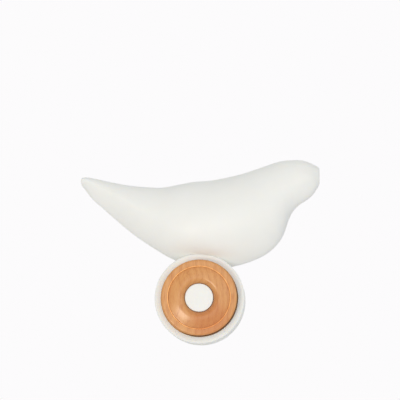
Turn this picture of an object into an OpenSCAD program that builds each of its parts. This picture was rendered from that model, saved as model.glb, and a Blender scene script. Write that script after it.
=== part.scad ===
// Motion decoy: a hollow moulded bird on a round drive pod. Behind each face of the pod a small
// motor turns a turned wooden ring on a moulded hub. Millimetres, +Z up, +X towards the bird's head.
// The origin is the mouth of the stake socket, at the lowest point of the pod.

/* [Body] */
// Length of the bird from the tail tip to the face
body_length = 299; // [250:1:360]
// Height from the lowest point of the breast to the crown
body_height = 136.5; // [114:0.5:164]
// Width across the breast
body_width = 86; // [74:1:104]
// Thickness of the two moulded shells
wall = 2.4; // [1.8:0.1:3]

/* [Pod] */
// Radius of the round pod under the breast
pod_r = 55.5; // [53:0.5:66]
// Width of the pod over its two faces
pod_width = 56; // [54:1:68]
// How far the rim of the pod reaches up into the breast
pod_sink = 17.5; // [13:0.5:22]
// Rounding of the pod's two edges
pod_edge = 3; // [1:0.5:5]

/* [Ring and hub] */
// Outer radius of the wooden ring
ring_r = 47; // [42:0.5:50]
// Width of the flat band round the ring's face
ring_lip = 7.6; // [5:0.1:10]
// Radius of the hole in the wooden ring
ring_hole_r = 17.6; // [14:0.1:21]
// Thickness of the wooden ring
ring_thick = 16; // [13:0.5:20]
// Air gap between the pod's face and the turning parts
ring_gap = 1.5; // [1:0.1:3]
// Radius of the hub's flange, let into the back of the ring
flange_r = 34; // [28:0.5:37]
// Thickness of the hub's flange
flange_thick = 3; // [2.5:0.1:4]
// Depth of the cap's face below the crest of the ring
cap_recess = 3.5; // [2:0.1:5]

/* [Drive] */
// Radius of the drive shaft
shaft_r = 3; // [2.5:0.1:4]
// Module of the gears
gear_module = 1.2; // [1:0.05:1.25]
// Teeth on the output gear
gear_teeth = 48; // [40:1:52]
// Teeth on the motor's pinion
pinion_teeth = 12; // [11:1:14]
// Width of the gears' teeth
gear_width = 6; // [4:0.5:7]
// Radius of the motor's can
motor_r = 12; // [10:0.5:13.5]
// Length of the motor's can
motor_length = 26; // [22:0.5:28]
// Thickness of the chassis plate
plate_thick = 2.5; // [2:0.1:3]

/* [Batteries] */
// Radius of one cell
cell_r = 7.1; // [5:0.1:7.25]
// Length of one cell with its nub
cell_length = 50.5; // [44:0.5:51]
// Number of cells, one above the other
cell_count = 4; // [2:1:4]
// Wall of the battery tray
tray_wall = 2; // [1.5:0.1:2.5]

/* [Door and switch] */
// Distance of the door's middle from the pod's axis, towards the head
door_x = 19; // [14:1:24]
// Distance of the switch from the pod's axis, towards the tail
switch_back = 38; // [34:1:44]
// Radius of the switch's round body
switch_r = 9.8; // [8:0.1:10.5]

/* [Stake socket] */
// Radius of the bore that takes the stake
socket_bore_r = 6.5; // [5:0.1:8]
// Depth of that bore
socket_depth = 26; // [18:1:27]
// Wall of the socket
socket_wall = 2.5; // [2:0.1:3]

/* [Fits] */
// Radial clearance of a running shaft
running = 0.03; // [0.02:0.01:0.08]
// Gap between parts that are simply placed together
loose = 0.2; // [0.1:0.05:0.4]
// Gap between the pod and the belly it is let into
let_in = 0.1; // [0.05:0.05:0.3]
// Gap around the door
door_gap = 0.4; // [0.3:0.05:0.8]

/* [Hidden] */
$fn = 64;

FRONT = -1;
REAR = 1;
half_l = body_length / 100;
half_w = body_width / 200;
height_unit = body_height / 100;
breast_z = 2 * pod_r - pod_sink;
pod_face = pod_width / 2;

// Lines of the bird from tail to face. Each runs from the back to the belly and holds: top x, top z,
// bottom x, bottom z, half width, height of the widest point below the top, fullness of the lower half.
// x is in percent of the length from the pod's axis, z in percent of the height above the breast,
// the half width in percent of its largest value and the widest point in parts of the line.
LINES = [
    [-50.2,  84.6, -50.2, 78.5,  10, 0.25, 1.25],
    [-47.8,  85.1, -48.6, 74.1,  17, 0.26, 1.30],
    [-43.6,  83.6, -45.3, 65.0,  24, 0.30, 1.35],
    [-37.7,  80.7, -40.2, 54.9,  32, 0.36, 1.40],
    [-31.0,  77.8, -34.4, 43.7,  42, 0.42, 1.40],
    [-23.5,  76.0, -27.7, 31.7,  55, 0.48, 1.30],
    [-16.0,  75.3, -20.2, 20.4,  70, 0.50, 1.15],
    [ -9.3,  77.8, -12.2, 10.0,  84, 0.50, 1.00],
    [ -2.6,  80.4,  -3.4,  2.7,  94, 0.50, 1.05],
    [  4.1,  81.5,   5.8,  0.0,  99, 0.50, 1.08],
    [ 10.8,  84.0,  15.0,  3.1, 100, 0.50, 1.08],
    [ 17.5,  87.5,  22.5,  8.3,  96, 0.50, 1.05],
    [ 23.3,  91.6,  27.9, 14.4,  88, 0.50, 1.00],
    [ 28.4,  95.5,  32.1, 22.7,  78, 0.50, 0.97],
    [ 32.1,  98.2,  34.8, 32.0,  69, 0.50, 1.00],
    [ 35.5,  99.6,  36.7, 44.0,  61, 0.50, 1.00],
    [ 38.8, 100.0,  38.6, 52.6,  56, 0.50, 1.00],
    [ 41.7,  99.9,  41.3, 58.8,  52, 0.50, 1.00],
    [ 44.2,  98.8,  44.2, 62.9,  46, 0.50, 1.00],
    [ 47.2,  96.0,  47.2, 68.6,  36, 0.50, 1.00],
    [ 49.8,  93.1,  49.8, 77.4,  20, 0.50, 1.00]];
LAST = len(LINES) - 1;
STEPS = 2;     // rings from one line to the next
SIDE = 9;      // points down one side of a ring

// ---------- curves ----------
function spline(a, b, c, d, t) =
    0.5 * (2 * b + (c - a) * t + (2 * a - 5 * b + 4 * c - d) * t * t
           + (3 * b - a - 3 * c + d) * t * t * t);
function along(list, t) =
    let (i = min(floor(t), len(list) - 2), u = t - i, n = len(list) - 1)
    spline(list[max(i - 1, 0)], list[i], list[i + 1], list[min(i + 2, n)], u);

// The line at place t, in millimetres.
function line_at(t) =
    let (l = along(LINES, t))
    [[l[0] * half_l, breast_z + l[1] * height_unit], [l[2] * half_l, breast_z + l[3] * height_unit],
     l[4] * half_w, l[5], l[6]];
// A point of the bird's middle plane: place t along it, part s of the way down the line.
function mid_point(t, s) = let (l = line_at(t)) l[0] + s * (l[1] - l[0]);

// Fullness of the upper half: where the lower half is keeled, the upper one is keeled less.
function upper(p) = max(1, 0.4 + 0.6 * p);
// Half width of line l at part s of the way down.
function half_width(l, s) =
    let (f = l[3], up = (f - s) / f, down = (s - f) / (1 - f), p = l[4], q = upper(p))
    s <= f ? l[2] * pow(sin(acos(min(1, pow(max(up, 0), 1 / q)))), q)
           : l[2] * pow(cos(asin(min(1, pow(max(down, 0), 1 / p)))), p);

function side_of(l, p) = (l[1][0] - l[0][0]) * (p[1] - l[0][1]) - (l[1][1] - l[0][1]) * (p[0] - l[0][0]);
// Place of the line that passes through p, found by halving.
function place_of(p, lo = 0, hi = LAST, n = 20) =
    n == 0 ? (lo + hi) / 2
           : let (m = (lo + hi) / 2)
             side_of(line_at(m), p) * side_of(line_at(lo), p) <= 0
                 ? place_of(p, lo, m, n - 1) : place_of(p, m, hi, n - 1);
// Half width of the bird's outside at [x, z].
function skin(x, z) =
    let (p = [x, z], l = line_at(place_of(p)), d = l[1] - l[0], s = (p - l[0]) * d / (d * d))
    half_width(l, min(max(s, 0.001), 0.999));

// ---------- the bird's solid ----------
// One ring of the bird, shrunk by inset all round.
function ring_points(t, inset) =
    let (l = line_at(t), d = l[1] - l[0], len = norm(d), u = d / len,
         top = l[0] + u * inset, tall = len - 2 * inset, wide = max(l[2] - inset, 1),
         f = l[3], p = l[4], k = upper(p))
    concat(
        [for (i = [0:SIDE])
            let (a = 90 * i / SIDE, s = f * (1 - pow(cos(a), k)), q = top + u * tall * s)
            [q[0], wide * pow(sin(a), k), q[1]]],
        [for (i = [1:SIDE])
            let (a = 90 * i / SIDE, s = f + (1 - f) * pow(sin(a), p), q = top + u * tall * s)
            [q[0], i == SIDE ? 0 : wide * pow(cos(a), p), q[1]]],
        [for (i = [SIDE - 1:-1:1])
            let (a = 90 * i / SIDE, s = f + (1 - f) * pow(sin(a), p), q = top + u * tall * s)
            [q[0], -wide * pow(cos(a), p), q[1]]],
        [for (i = [SIDE:-1:1])
            let (a = 90 * i / SIDE, s = f * (1 - pow(cos(a), k)), q = top + u * tall * s)
            [q[0], -wide * pow(sin(a), k), q[1]]]);

// Faces of a closed skin over rings of n points each.
function skin_faces(rings, n) = concat(
    [[for (j = [n - 1:-1:0]) j]],
    [for (i = [0:rings - 2], j = [0:n - 1], side = [0, 1])
        let (a = i * n + j, b = i * n + (j + 1) % n)
        side == 0 ? [a, b, b + n] : [a, b + n, a + n]],
    [[for (j = [0:n - 1]) (rings - 1) * n + j]]);

module bird(inset = 0, from = 0, to = LAST) {
    rings = [for (t = [from:1 / STEPS:to]) ring_points(t, inset)];
    polyhedron(points = [for (r = rings, p = r) p], faces = skin_faces(len(rings), 4 * SIDE));
}

// ---------- placing ----------
// Children drawn upwards from z = 0 stand outwards on one face of the pod.
module on_face(side) {
    translate([0, side * pod_face, pod_r]) rotate([side == FRONT ? 90 : -90, 0, 0]) children();
}
// A cylinder along +Y from y0 to y1 at [x, z].
module bar(x, z, r, y0, y1) {
    translate([x, y0, z]) rotate([-90, 0, 0]) cylinder(r = r, h = y1 - y0);
}
function polar(r, angle) = [r * cos(angle), pod_r + r * sin(angle)];

// ---------- driving places ----------
bush_r = shaft_r + 2;
bush_length = 8;
bush_flange = 1.5;
boss_r = bush_r + 4;
clip_thick = 1;
gear_y = -pod_face + bush_length + bush_flange + clip_thick + 0.5;   // front face of the gear
plate_y = gear_y + gear_width + 0.5;                                  // front face of the plate
plate_back = plate_y + plate_thick;
centres = gear_module * (gear_teeth + pinion_teeth) / 2;
motor_z = pod_r + centres;
gear_tip = gear_module * (gear_teeth / 2 + 1);
gear_hub_r = shaft_r + 5;
hub_recess_floor = ring_gap + flange_thick + 3.5;
cap_face = ring_gap + ring_thick - cap_recess;
cap_thick = 2.5;
hub_r = ring_hole_r - loose;
shaft_end = hub_recess_floor;
screw_r = 1.5;
pilot_gap = 0.05;

cell_pitch = 2 * cell_r + 0.4;
tray_in = cell_length + 5.5;
tray_length = tray_in + 2 * tray_wall;
tray_height = cell_count * cell_pitch + 2 * tray_wall;
tray_deep = 2 * cell_r + 0.3 + tray_wall;
door_z = breast_z + 45.2 * height_unit;
// The tray stands as far out as the shell leaves room for its four corners.
tray_front = floor(min([for (sx = [-1, 1], sz = [-1, 1])
    skin(door_x + sx * tray_length / 2, door_z + sz * tray_height / 2)]) - wall - 1);
tray_back = tray_front - tray_deep;
cell_y = tray_back + tray_wall + cell_r + 0.15;
tray_screw_r = 1.2;
tray_screw_end = (tray_back + plate_back) / 2;       // half way down the posts
function cell_z(i) = door_z + (i - (cell_count + 1) / 2) * cell_pitch;

door_w = tray_length - 4;
door_h = tray_height - 5;
hinge_z = door_z + door_h / 2 + 3;
knuckle_r = 2.4;
ear_x = 12;
ear_w = 8;
function ear_edges(sx) = [for (e = [-1, 1]) door_x + sx * ear_x + e * ear_w / 2];
pin_r = 1;
hinge_y = max([for (sx = [-1, 1], x = ear_edges(sx)) skin(x, hinge_z - knuckle_r)]) + knuckle_r + 0.3;
// An ear's foot ends inside the shell's wall at its lowest place under it.
function ear_foot(sx) = min([for (x = ear_edges(sx)) skin(x, hinge_z + knuckle_r)]) - wall / 2;

switch_x = -switch_back;
switch_z = breast_z + 49.5 * height_unit;
cup_r = switch_r + 3.2;
switch_floor = skin(switch_x - cup_r, switch_z) - 1;
switch_deep = 15;
rocker_tilt = 8;
rocker_w = 9;
rocker_l = 13;

socket_r = socket_bore_r + socket_wall;
socket_top = socket_depth + 4;
collar_z = 12;
collar_thick = 3;
collar_r = socket_r + 2;

SEAM = [for (s = [[4, 0.42], [5.8, 0.42], [12, 0.35], [12.6, 0.72], [17, 0.5]]) mid_point(s[0], s[1])];
pod_screw_r = gear_tip + 10;
POD_SCREWS = [polar(pod_screw_r, 215), polar(pod_screw_r, 325)];
SHELL_SCREWS = concat(SEAM, POD_SCREWS);
seam_boss_r = 4;
seam_head_y = 8;

// The mouth lets the motor, the plate's neck and the leads through, and stays under the belly.
pod_mouth = motor_r + 2.5;
pod_mouth_y = pod_face - wall - 3;
plate_r = pod_r - wall - 4.5;
POD_POSTS = [polar(plate_r - 7.5, 160), polar(plate_r - 7.5, 20)];
BODY_POSTS = [for (sx = [-1, 1]) [door_x + sx * 25, door_z + tray_height / 2 + 1]];
TRAY_POSTS = [for (sx = [-1, 1], i = cell_count > 2 ? [1.5, cell_count - 0.5] : [1.5])
    [door_x + sx * 21, cell_z(i)]];
MOTOR_SCREWS = [-1, 1];

terminal_out = 3.2;

// ---------- moulded shells ----------
module pod_solid(r, half) {
    edge = min(pod_edge, half / 2);
    translate([0, 0, pod_r]) rotate([90, 0, 0]) rotate_extrude($fn = 96) polygon(concat(
        [[0, -half]],
        [for (a = [-90:15:0]) [r - edge + edge * cos(a), -half + edge + edge * sin(a)]],
        [for (a = [0:15:90]) [r - edge + edge * cos(a), half - edge + edge * sin(a)]],
        [[0, half]]));
}
module half_space(side) {
    big = 2 * body_length;
    translate([-big / 2, side == FRONT ? -big : 0, -big / 2]) cube(big);
}
// Ribs on both sides of the socket's collar, with a seat for the socket.
module socket_ribs() {
    for (z = [collar_z - 4, collar_z + collar_thick + loose])
        translate([-pod_r, -pod_face, z]) cube([2 * pod_r, pod_width, 4 - loose]);
}
// A boss from the seam to the outside of one half.
module boss(p, side) {
    reach = body_width;
    bar(p[0], p[1], seam_boss_r, side == FRONT ? -reach : 0, side == FRONT ? 0 : reach);
}
// Pilot hole in the right half; clearance hole and head recess in the left half.
module screw_hole(p, side) {
    if (side == FRONT) {
        bar(p[0], p[1], screw_r + pilot_gap, -12, 1);
    } else {
        bar(p[0], p[1], screw_r + loose, -1, seam_head_y);
        bar(p[0], p[1], 3.6, seam_head_y, body_width);
    }
}
module plate_posts(points) {
    for (p = points) bar(p[0], p[1], seam_boss_r, -body_width, plate_y);
}
module plate_pilots(points) {
    for (p = points) bar(p[0], p[1], screw_r + pilot_gap, plate_y - 10, plate_y + 1);
}
module shell(side) {
    difference() {
        intersection() {
            bird();
            half_space(side);
        }
        difference() {
            bird(wall, 1, LAST - 0.5);
            for (p = SEAM) boss(p, side);
            if (side == FRONT) plate_posts(BODY_POSTS);
            else bar(switch_x, switch_z, cup_r + wall, switch_floor - wall, body_width);
        }
        for (p = SEAM) screw_hole(p, side);
        if (side == FRONT) {
            plate_pilots(BODY_POSTS);
        } else {
            bar(switch_x, switch_z, cup_r, switch_floor, body_width);
            bar(switch_x, switch_z, switch_r + loose, 0, body_width);
            door_block(0);
        }
        pod_solid(pod_r + let_in, pod_face + let_in);
    }
}
// One half of the drive pod. Its rim is let into the belly and is open at the top, inside the bird.
module pod(side) {
    top = breast_z + wall + 2;
    difference() {
        intersection() {
            pod_solid(pod_r, pod_face);
            half_space(side);
        }
        difference() {
            pod_solid(pod_r - wall, pod_face - wall);
            for (p = POD_SCREWS) boss(p, side);
            on_face(side) translate([0, 0, -bush_length]) cylinder(r = boss_r, h = bush_length);
            socket_ribs();
            if (side == FRONT) plate_posts(POD_POSTS);
        }
        translate([-pod_mouth, -pod_mouth_y, top]) cube([2 * pod_mouth, 2 * pod_mouth_y, pod_r]);
        on_face(side) translate([0, 0, -2 * bush_length])
            cylinder(r = bush_r + pilot_gap, h = 3 * bush_length);
        translate([0, 0, -pod_r]) cylinder(r = socket_r + loose, h = pod_r + socket_top + 1);
        for (p = POD_SCREWS) screw_hole(p, side);
        if (side == FRONT) plate_pilots(POD_POSTS);
    }
}
// Two outer knuckles of the door's hinge, standing on the left shell.
module hinge_ears() {
    for (sx = [-1, 1])
        difference() {
            union() {
                translate([door_x + sx * ear_x - ear_w / 2, hinge_y, hinge_z]) rotate([0, 90, 0])
                    cylinder(r = knuckle_r, h = ear_w);
                translate([door_x + sx * ear_x - ear_w / 2, ear_foot(sx), hinge_z])
                    cube([ear_w, hinge_y - ear_foot(sx), knuckle_r]);
            }
            translate([door_x + sx * ear_x - ear_w, hinge_y, hinge_z]) rotate([0, 90, 0])
                cylinder(r = pin_r, h = 2 * ear_w);
        }
}
module right_shell() { color("#f1efea") shell(FRONT); }
module right_pod() { color("#f1efea") pod(FRONT); }
module left_pod() { color("#f1efea") pod(REAR); }
module left_shell() {
    color("#f1efea") {
        shell(REAR);
        hinge_ears();
    }
}

// ---------- battery door ----------
// The door's block through the left flank, smaller than the opening by gap all round.
module door_block(gap) {
    r = 5;
    translate([door_x, body_width, door_z]) rotate([90, 0, 0]) linear_extrude(body_width)
        hull_square(door_w - 2 * gap, door_h - 2 * gap, r);
}
module hull_square(w, h, r) {
    union() {
        square([w - 2 * r, h], center = true);
        square([w, h - 2 * r], center = true);
        for (sx = [-1, 1], sz = [-1, 1])
            translate([sx * (w / 2 - r), sz * (h / 2 - r)]) circle(r = r);
    }
}
// It snaps shut on two small bumps on its lower edge.
module battery_door() {
    mid = ear_x - ear_w / 2 - loose;
    door_foot = door_z - door_h / 2 + door_gap;
    color("#f1efea") difference() {
        union() {
            intersection() {
                difference() {
                    bird();
                    bird(wall, 1, LAST - 0.5);
                }
                door_block(door_gap);
            }
            translate([door_x - mid, hinge_y, hinge_z]) rotate([0, 90, 0])
                cylinder(r = knuckle_r, h = 2 * mid);
            translate([door_x - mid, hinge_y - knuckle_r, hinge_z - 8])
                cube([2 * mid, 2, 8]);
            for (sx = [-1, 1]) translate([door_x + sx * 15, skin(door_x + sx * 15, door_foot) - wall / 2,
                door_foot + 0.8]) sphere(r = 1.1, $fn = 24);
        }
        translate([door_x - mid - 1, hinge_y, hinge_z]) rotate([0, 90, 0])
            cylinder(r = pin_r + running, h = 2 * mid + 2);
    }
}
module door_hinge_pin() {
    reach = ear_x + ear_w / 2;
    color("silver") translate([door_x - reach, hinge_y, hinge_z]) rotate([0, 90, 0])
        cylinder(r = pin_r, h = 2 * reach);
}

// ---------- screws ----------
// A pan-head screw with its head's underside at y and its shank towards -Y.
module screw(x, z, y, r, length, head_r, head) {
    bar(x, z, r, y - length, y);
    difference() {
        bar(x, z, head_r, y, y + head);
        translate([x - 0.4, y + head - 0.8, z - head_r * 0.7]) cube([0.8, 2, head_r * 1.4]);
        translate([x - head_r * 0.7, y + head - 0.8, z - 0.4]) cube([head_r * 1.4, 2, 0.8]);
    }
}
module shell_screws() {
    color("silver") for (p = SHELL_SCREWS) screw(p[0], p[1], seam_head_y, screw_r, 16, 3, 2.2);
}
module chassis_screws() {
    color("silver") for (p = concat(POD_POSTS, BODY_POSTS))
        screw(p[0], p[1], plate_back, screw_r, plate_thick + 8, 2.8, 1.8);
}

// ---------- chassis ----------
module chassis_plate() {
    top = door_z + tray_height / 2 + 5;
    foot = breast_z + 24;
    neck = pod_mouth - 3;
    color("#3a3a3c") difference() {
        union() {
            translate([0, plate_back, 0]) rotate([90, 0, 0]) linear_extrude(plate_thick) union() {
                intersection() {
                    translate([0, pod_r]) circle(r = plate_r);
                    translate([-pod_r, pod_r - 13]) square([2 * pod_r, pod_r + 13]);
                }
                translate([-neck, pod_r]) square([2 * neck, door_z - pod_r]);
                translate([door_x - 31, foot]) square([62, top - foot]);
            }
            for (p = TRAY_POSTS) bar(p[0], p[1], 3.5, plate_back, tray_back);
        }
        bar(0, pod_r, gear_hub_r + 2, plate_y - 1, plate_back + 1);
        bar(0, motor_z, 3.2, plate_y - 1, plate_back + 1);
        for (s = MOTOR_SCREWS) {
            bar(8 * s, motor_z, 1.2, plate_y - 1, plate_back + 1);
            bar(8 * s, motor_z, 2.2, plate_y - 1, plate_y + 1.2);
        }
        for (p = concat(POD_POSTS, BODY_POSTS))
            bar(p[0], p[1], screw_r + loose, plate_y - 1, plate_back + 1);
        for (p = TRAY_POSTS) bar(p[0], p[1], tray_screw_r + pilot_gap, tray_screw_end - 1, tray_back + 1);
    }
}

// ---------- stake socket ----------
module stake_socket() {
    color("#4a4a4d") difference() {
        union() {
            cylinder(r = socket_r, h = socket_top);
            translate([0, 0, collar_z + loose / 2]) cylinder(r = collar_r, h = collar_thick);
        }
        translate([0, 0, -1]) cylinder(r = socket_bore_r, h = socket_depth + 1);
    }
}

// ---------- bearings ----------
module bush(side) {
    color("#b8894a") on_face(side) difference() {
        union() {
            translate([0, 0, -bush_length]) cylinder(r = bush_r, h = bush_length);
            translate([0, 0, -bush_length - bush_flange]) cylinder(r = bush_r + 2, h = bush_flange);
        }
        translate([0, 0, -2 * bush_length]) cylinder(r = shaft_r + running, h = 3 * bush_length);
    }
}
module seal(side) {
    color("#6b6257") on_face(side) difference() {
        cylinder(r = boss_r - 1, h = ring_gap - 0.1);
        translate([0, 0, -1]) cylinder(r = shaft_r + loose, h = 5);
    }
}

// ---------- motor ----------
module motor_can() {
    color("silver") difference() {
        union() {
            bar(0, motor_z, motor_r, plate_back, plate_back + motor_length);
            bar(0, motor_z, 3, plate_y + 0.2, plate_back);
        }
        bar(0, motor_z, motor_r - 1, plate_back + 1, plate_back + motor_length + 1);
        bar(0, motor_z, 1 + running, plate_y, plate_back + 2);
        for (s = MOTOR_SCREWS) bar(8 * s, motor_z, 1, plate_back - 1, plate_back + 2);
    }
}
module motor_magnets() {
    color("#303033") for (turn = [0, 180])
        translate([0, plate_back + 3.5, motor_z]) rotate([-90, 0, 0]) rotate([0, 0, turn - 55])
            rotate_extrude(angle = 110) translate([motor_r - 3.1, 0]) square([2, motor_length - 10]);
}
module motor_end_cap() {
    cap_y = plate_back + motor_length;
    color("#ece8dc") difference() {
        union() {
            bar(0, motor_z, motor_r - 1, cap_y - 2, cap_y);
            bar(0, motor_z, motor_r - 0.5, cap_y, cap_y + 2);
            bar(0, motor_z, 3, cap_y + 2, cap_y + 3);
        }
        bar(0, motor_z, 1 + running, cap_y - 3, cap_y + 4);
        for (s = MOTOR_SCREWS)
            translate([6 * s - 0.25 - pilot_gap, cap_y - 3, motor_z - 1.5 - pilot_gap])
                cube([0.5 + 2 * pilot_gap, 6, 3 + 2 * pilot_gap]);
    }
}
module motor_terminals() {
    cap_y = plate_back + motor_length;
    color("#c9a24b") for (s = MOTOR_SCREWS)
        translate([6 * s - 0.25, cap_y - 3, motor_z - 1.5]) cube([0.5, 6 + terminal_out - 1, 3]);
}
module motor_screws() {
    color("silver") for (s = MOTOR_SCREWS) mirror([0, 1, 0])
        screw(8 * s, motor_z, -plate_y - 1.2, 0.95, plate_thick + 0.4, 1.8, 1);
}
module motor_shaft() {
    color("silver") bar(0, motor_z, 1, gear_y - 0.3, plate_back + motor_length + 2.8);
}
module motor_armature() {
    color("#8d5a34") difference() {
        union() {
            bar(0, motor_z, motor_r - 3.6, plate_back + 5, plate_back + motor_length - 9);
            bar(0, motor_z, 2.8, plate_back + motor_length - 8, plate_back + motor_length - 3.5);
            bar(0, motor_z, 2, plate_back + 3, plate_back + motor_length - 3.5);
        }
        bar(0, motor_z, 1, -pod_face, pod_face);
        for (a = [90, 210, 330])
            translate([0, 0, motor_z]) rotate([0, a, 0])
                translate([3.6, plate_back + 4, -0.9]) cube([motor_r, motor_length - 12, 1.8]);
    }
}

// ---------- gears ----------
PRESSURE = 25;
function inv(a) = tan(a) - a * PI / 180;
// Outline of a spur gear with teeth at 0 degrees, thinned by play at the pitch circle.
function gear_outline(teeth, play) =
    let (pitch = gear_module * teeth / 2, base = pitch * cos(PRESSURE), tip = pitch + gear_module,
         root = pitch - 1.25 * gear_module, low = max(base, root),
         half = 90 / teeth - play / pitch * 90 / PI + inv(PRESSURE) * 180 / PI,
         flank = [for (i = [0:4]) let (r = low + (tip - low) * i / 4)
             [r, half - inv(acos(min(1, base / r))) * 180 / PI]],
         foot = (low - root) / root * 20 + 0.2 + flank[0][1])
    [for (k = [0:teeth - 1]) let (mid = 360 * k / teeth) each concat(
        [root * [cos(mid - foot), sin(mid - foot)]],
        [for (i = [low > root ? 0 : 1:4]) flank[i][0] * [cos(mid - flank[i][1]), sin(mid - flank[i][1])]],
        [for (i = [4:-1:low > root ? 0 : 1]) flank[i][0] * [cos(mid + flank[i][1]), sin(mid + flank[i][1])]],
        [root * [cos(mid + foot), sin(mid + foot)]])];

module output_gear() {
    web = 3;
    color("#e9e4d6") difference() {
        union() {
            difference() {
                translate([0, gear_y + gear_width, pod_r]) rotate([90, 0, 0])
                    linear_extrude(gear_width) polygon(gear_outline(gear_teeth, 0.08));
                translate([0, gear_y + web, pod_r]) rotate([-90, 0, 0])
                    cylinder(r = gear_tip - 6, h = gear_width);
                for (a = [30:60:330]) let (p = polar((gear_tip - 6 + gear_hub_r) / 2, a))
                    bar(p[0], p[1], 4, gear_y - 1, gear_y + gear_width);
            }
            bar(0, pod_r, gear_hub_r, gear_y, gear_y + gear_width + 5);
        }
        bar(0, pod_r, shaft_r + pilot_gap, gear_y - 1, gear_y + gear_width + 6);
        translate([0, gear_y + gear_width + 2.5, pod_r - gear_hub_r - 1])
            cylinder(r = 1 + pilot_gap, h = 2 * gear_hub_r + 2);
    }
}
module motor_pinion() {
    color("#c9a24b") difference() {
        translate([0, gear_y + gear_width, motor_z]) rotate([90, 0, 0]) rotate([0, 0, 180 / pinion_teeth])
            linear_extrude(gear_width) polygon(gear_outline(pinion_teeth, 0.08));
        bar(0, motor_z, 1 + pilot_gap, gear_y - 1, gear_y + gear_width + 1);
    }
}
module gear_pin() {
    color("silver") translate([0, gear_y + gear_width + 2.5, pod_r - gear_hub_r + 0.5])
        cylinder(r = 1, h = 2 * gear_hub_r - 1);
}
module drive_shaft() {
    end = pod_face + shaft_end;
    color("silver") difference() {
        bar(0, pod_r, shaft_r, -end, end);
        for (side = [FRONT, REAR]) {
            on_face(side) translate([0, 0, shaft_end - 9]) cylinder(r = screw_r + pilot_gap, h = 10);
            on_face(side) translate([0, 0, -bush_length - bush_flange - clip_thick - 0.15])
                difference() {
                    cylinder(r = shaft_r + 1, h = clip_thick + 0.1);
                    cylinder(r = shaft_r - 0.5, h = clip_thick + 0.1);
                }
        }
        translate([0, gear_y + gear_width + 2.5, pod_r - shaft_r - 1])
            cylinder(r = 1 + pilot_gap, h = 2 * shaft_r + 2);
    }
}
module shaft_clips() {
    color("#26262a") for (side = [FRONT, REAR])
        on_face(side) translate([0, 0, -bush_length - bush_flange - clip_thick - 0.1])
            rotate_extrude(angle = 300, start = 120) translate([shaft_r - 0.45, 0]) square([2.2, clip_thick]);
}

// ---------- ring and hub ----------
// Turned profile of the ring, from the hole outwards. The face swells to a crest, falls to a
// fine groove, then a bead, and ends in a flat band with a rounded edge.
module ring_profile() {
    back = ring_gap;
    front = ring_gap + ring_thick;
    crest_r = ring_hole_r + 0.33 * (ring_r - ring_hole_r);
    bead = 0.8;
    bead_r = ring_r - ring_lip - bead;
    groove_r = bead_r - bead - 0.4;
    step = 1.6;             // the flat band lies this far behind the crest
    round_depth = 5;
    edge = 3;
    rebate = flange_thick + loose;
    polygon(concat(
        [[ring_hole_r, back + rebate], [flange_r + 2 * loose, back + rebate], [flange_r + 2 * loose, back],
         [ring_r - 1.5, back], [ring_r, back + 1.5]],
        [for (a = [0:15:90]) [ring_r - edge + edge * cos(a), front - step - edge + edge * sin(a)]],
        [for (a = [0:30:180]) [bead_r + bead * cos(a), front - step + bead * sin(a)]],
        [[groove_r, front - step - 0.7]],
        [for (u = [0:0.15:0.9]) [groove_r - 0.5 + u * (crest_r - groove_r + 0.5),
                                front - (step + 0.2) * (1 - sin(90 * u))]],
        [for (a = [90:15:180]) [crest_r - 2 + (crest_r - 2 - ring_hole_r) * cos(a),
                                front - round_depth + round_depth * sin(a)]]));
}
module wooden_ring(side) {
    color("#d6985c") on_face(side) difference() {
        rotate_extrude($fn = 128) ring_profile();
        for (a = [45:90:315]) rotate([0, 0, a]) translate([ring_screw_at, 0, 0])
            cylinder(r = 1.2 + pilot_gap, h = ring_gap + flange_thick + 7.5);
    }
}
ring_screw_at = (ring_hole_r + flange_r) / 2 + 1;
module hub(side) {
    color("#f1efea") on_face(side) difference() {
        union() {
            translate([0, 0, ring_gap]) cylinder(r = flange_r, h = flange_thick);
            translate([0, 0, ring_gap]) cylinder(r = hub_r, h = cap_face - cap_thick - ring_gap);
        }
        translate([0, 0, -1]) cylinder(r = shaft_r + pilot_gap, h = 30);
        translate([0, 0, hub_recess_floor]) cylinder(r = hub_r - 4, h = 30);
        for (a = [45:90:315]) rotate([0, 0, a]) translate([ring_screw_at, 0, 0]) {
            cylinder(r = 1.2 + loose, h = 30);
            cylinder(r = 3, h = ring_gap + 1.7);
        }
    }
}
module ring_screws(side) {
    color("silver") on_face(side) for (a = [45:90:315]) rotate([0, 0, a])
        translate([ring_screw_at, 0, ring_gap + 1.65]) {
            cylinder(r = 1.2, h = flange_thick + 5);
            translate([0, 0, -1.5]) difference() {
                cylinder(r = 2.7, h = 1.5);
                translate([-2, -0.35, -1]) cube([4, 0.7, 1.7]);
                translate([-0.35, -2, -1]) cube([0.7, 4, 1.7]);
            }
        }
}
module hub_screw(side) {
    color("silver") on_face(side) {
        translate([0, 0, shaft_end - 8]) cylinder(r = screw_r, h = 8);
        translate([0, 0, shaft_end]) difference() {
            cylinder(r = 5, h = 1.8);
            translate([0, 0, 0.8]) cylinder(r = 1.6, h = 2, $fn = 6);
        }
    }
}
module hub_cap(side) {
    skirt = hub_r - 4 - loose;
    dome = 0.8;
    color("#f1efea") on_face(side) union() {
        rotate_extrude($fn = 96) polygon(concat(
            [[0, cap_face - cap_thick], [hub_r, cap_face - cap_thick], [hub_r, cap_face - dome]],
            [for (a = [15:15:90]) [hub_r - 1 + cos(a), cap_face - dome + 0.4 * sin(a)]],
            [[hub_r / 2, cap_face - 0.1], [0, cap_face]]));
        translate([0, 0, cap_face - cap_thick - 1.6]) difference() {
            cylinder(r = skirt, h = 1.6);
            translate([0, 0, -1]) cylinder(r = skirt - 1.6, h = 4);
        }
    }
}

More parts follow.
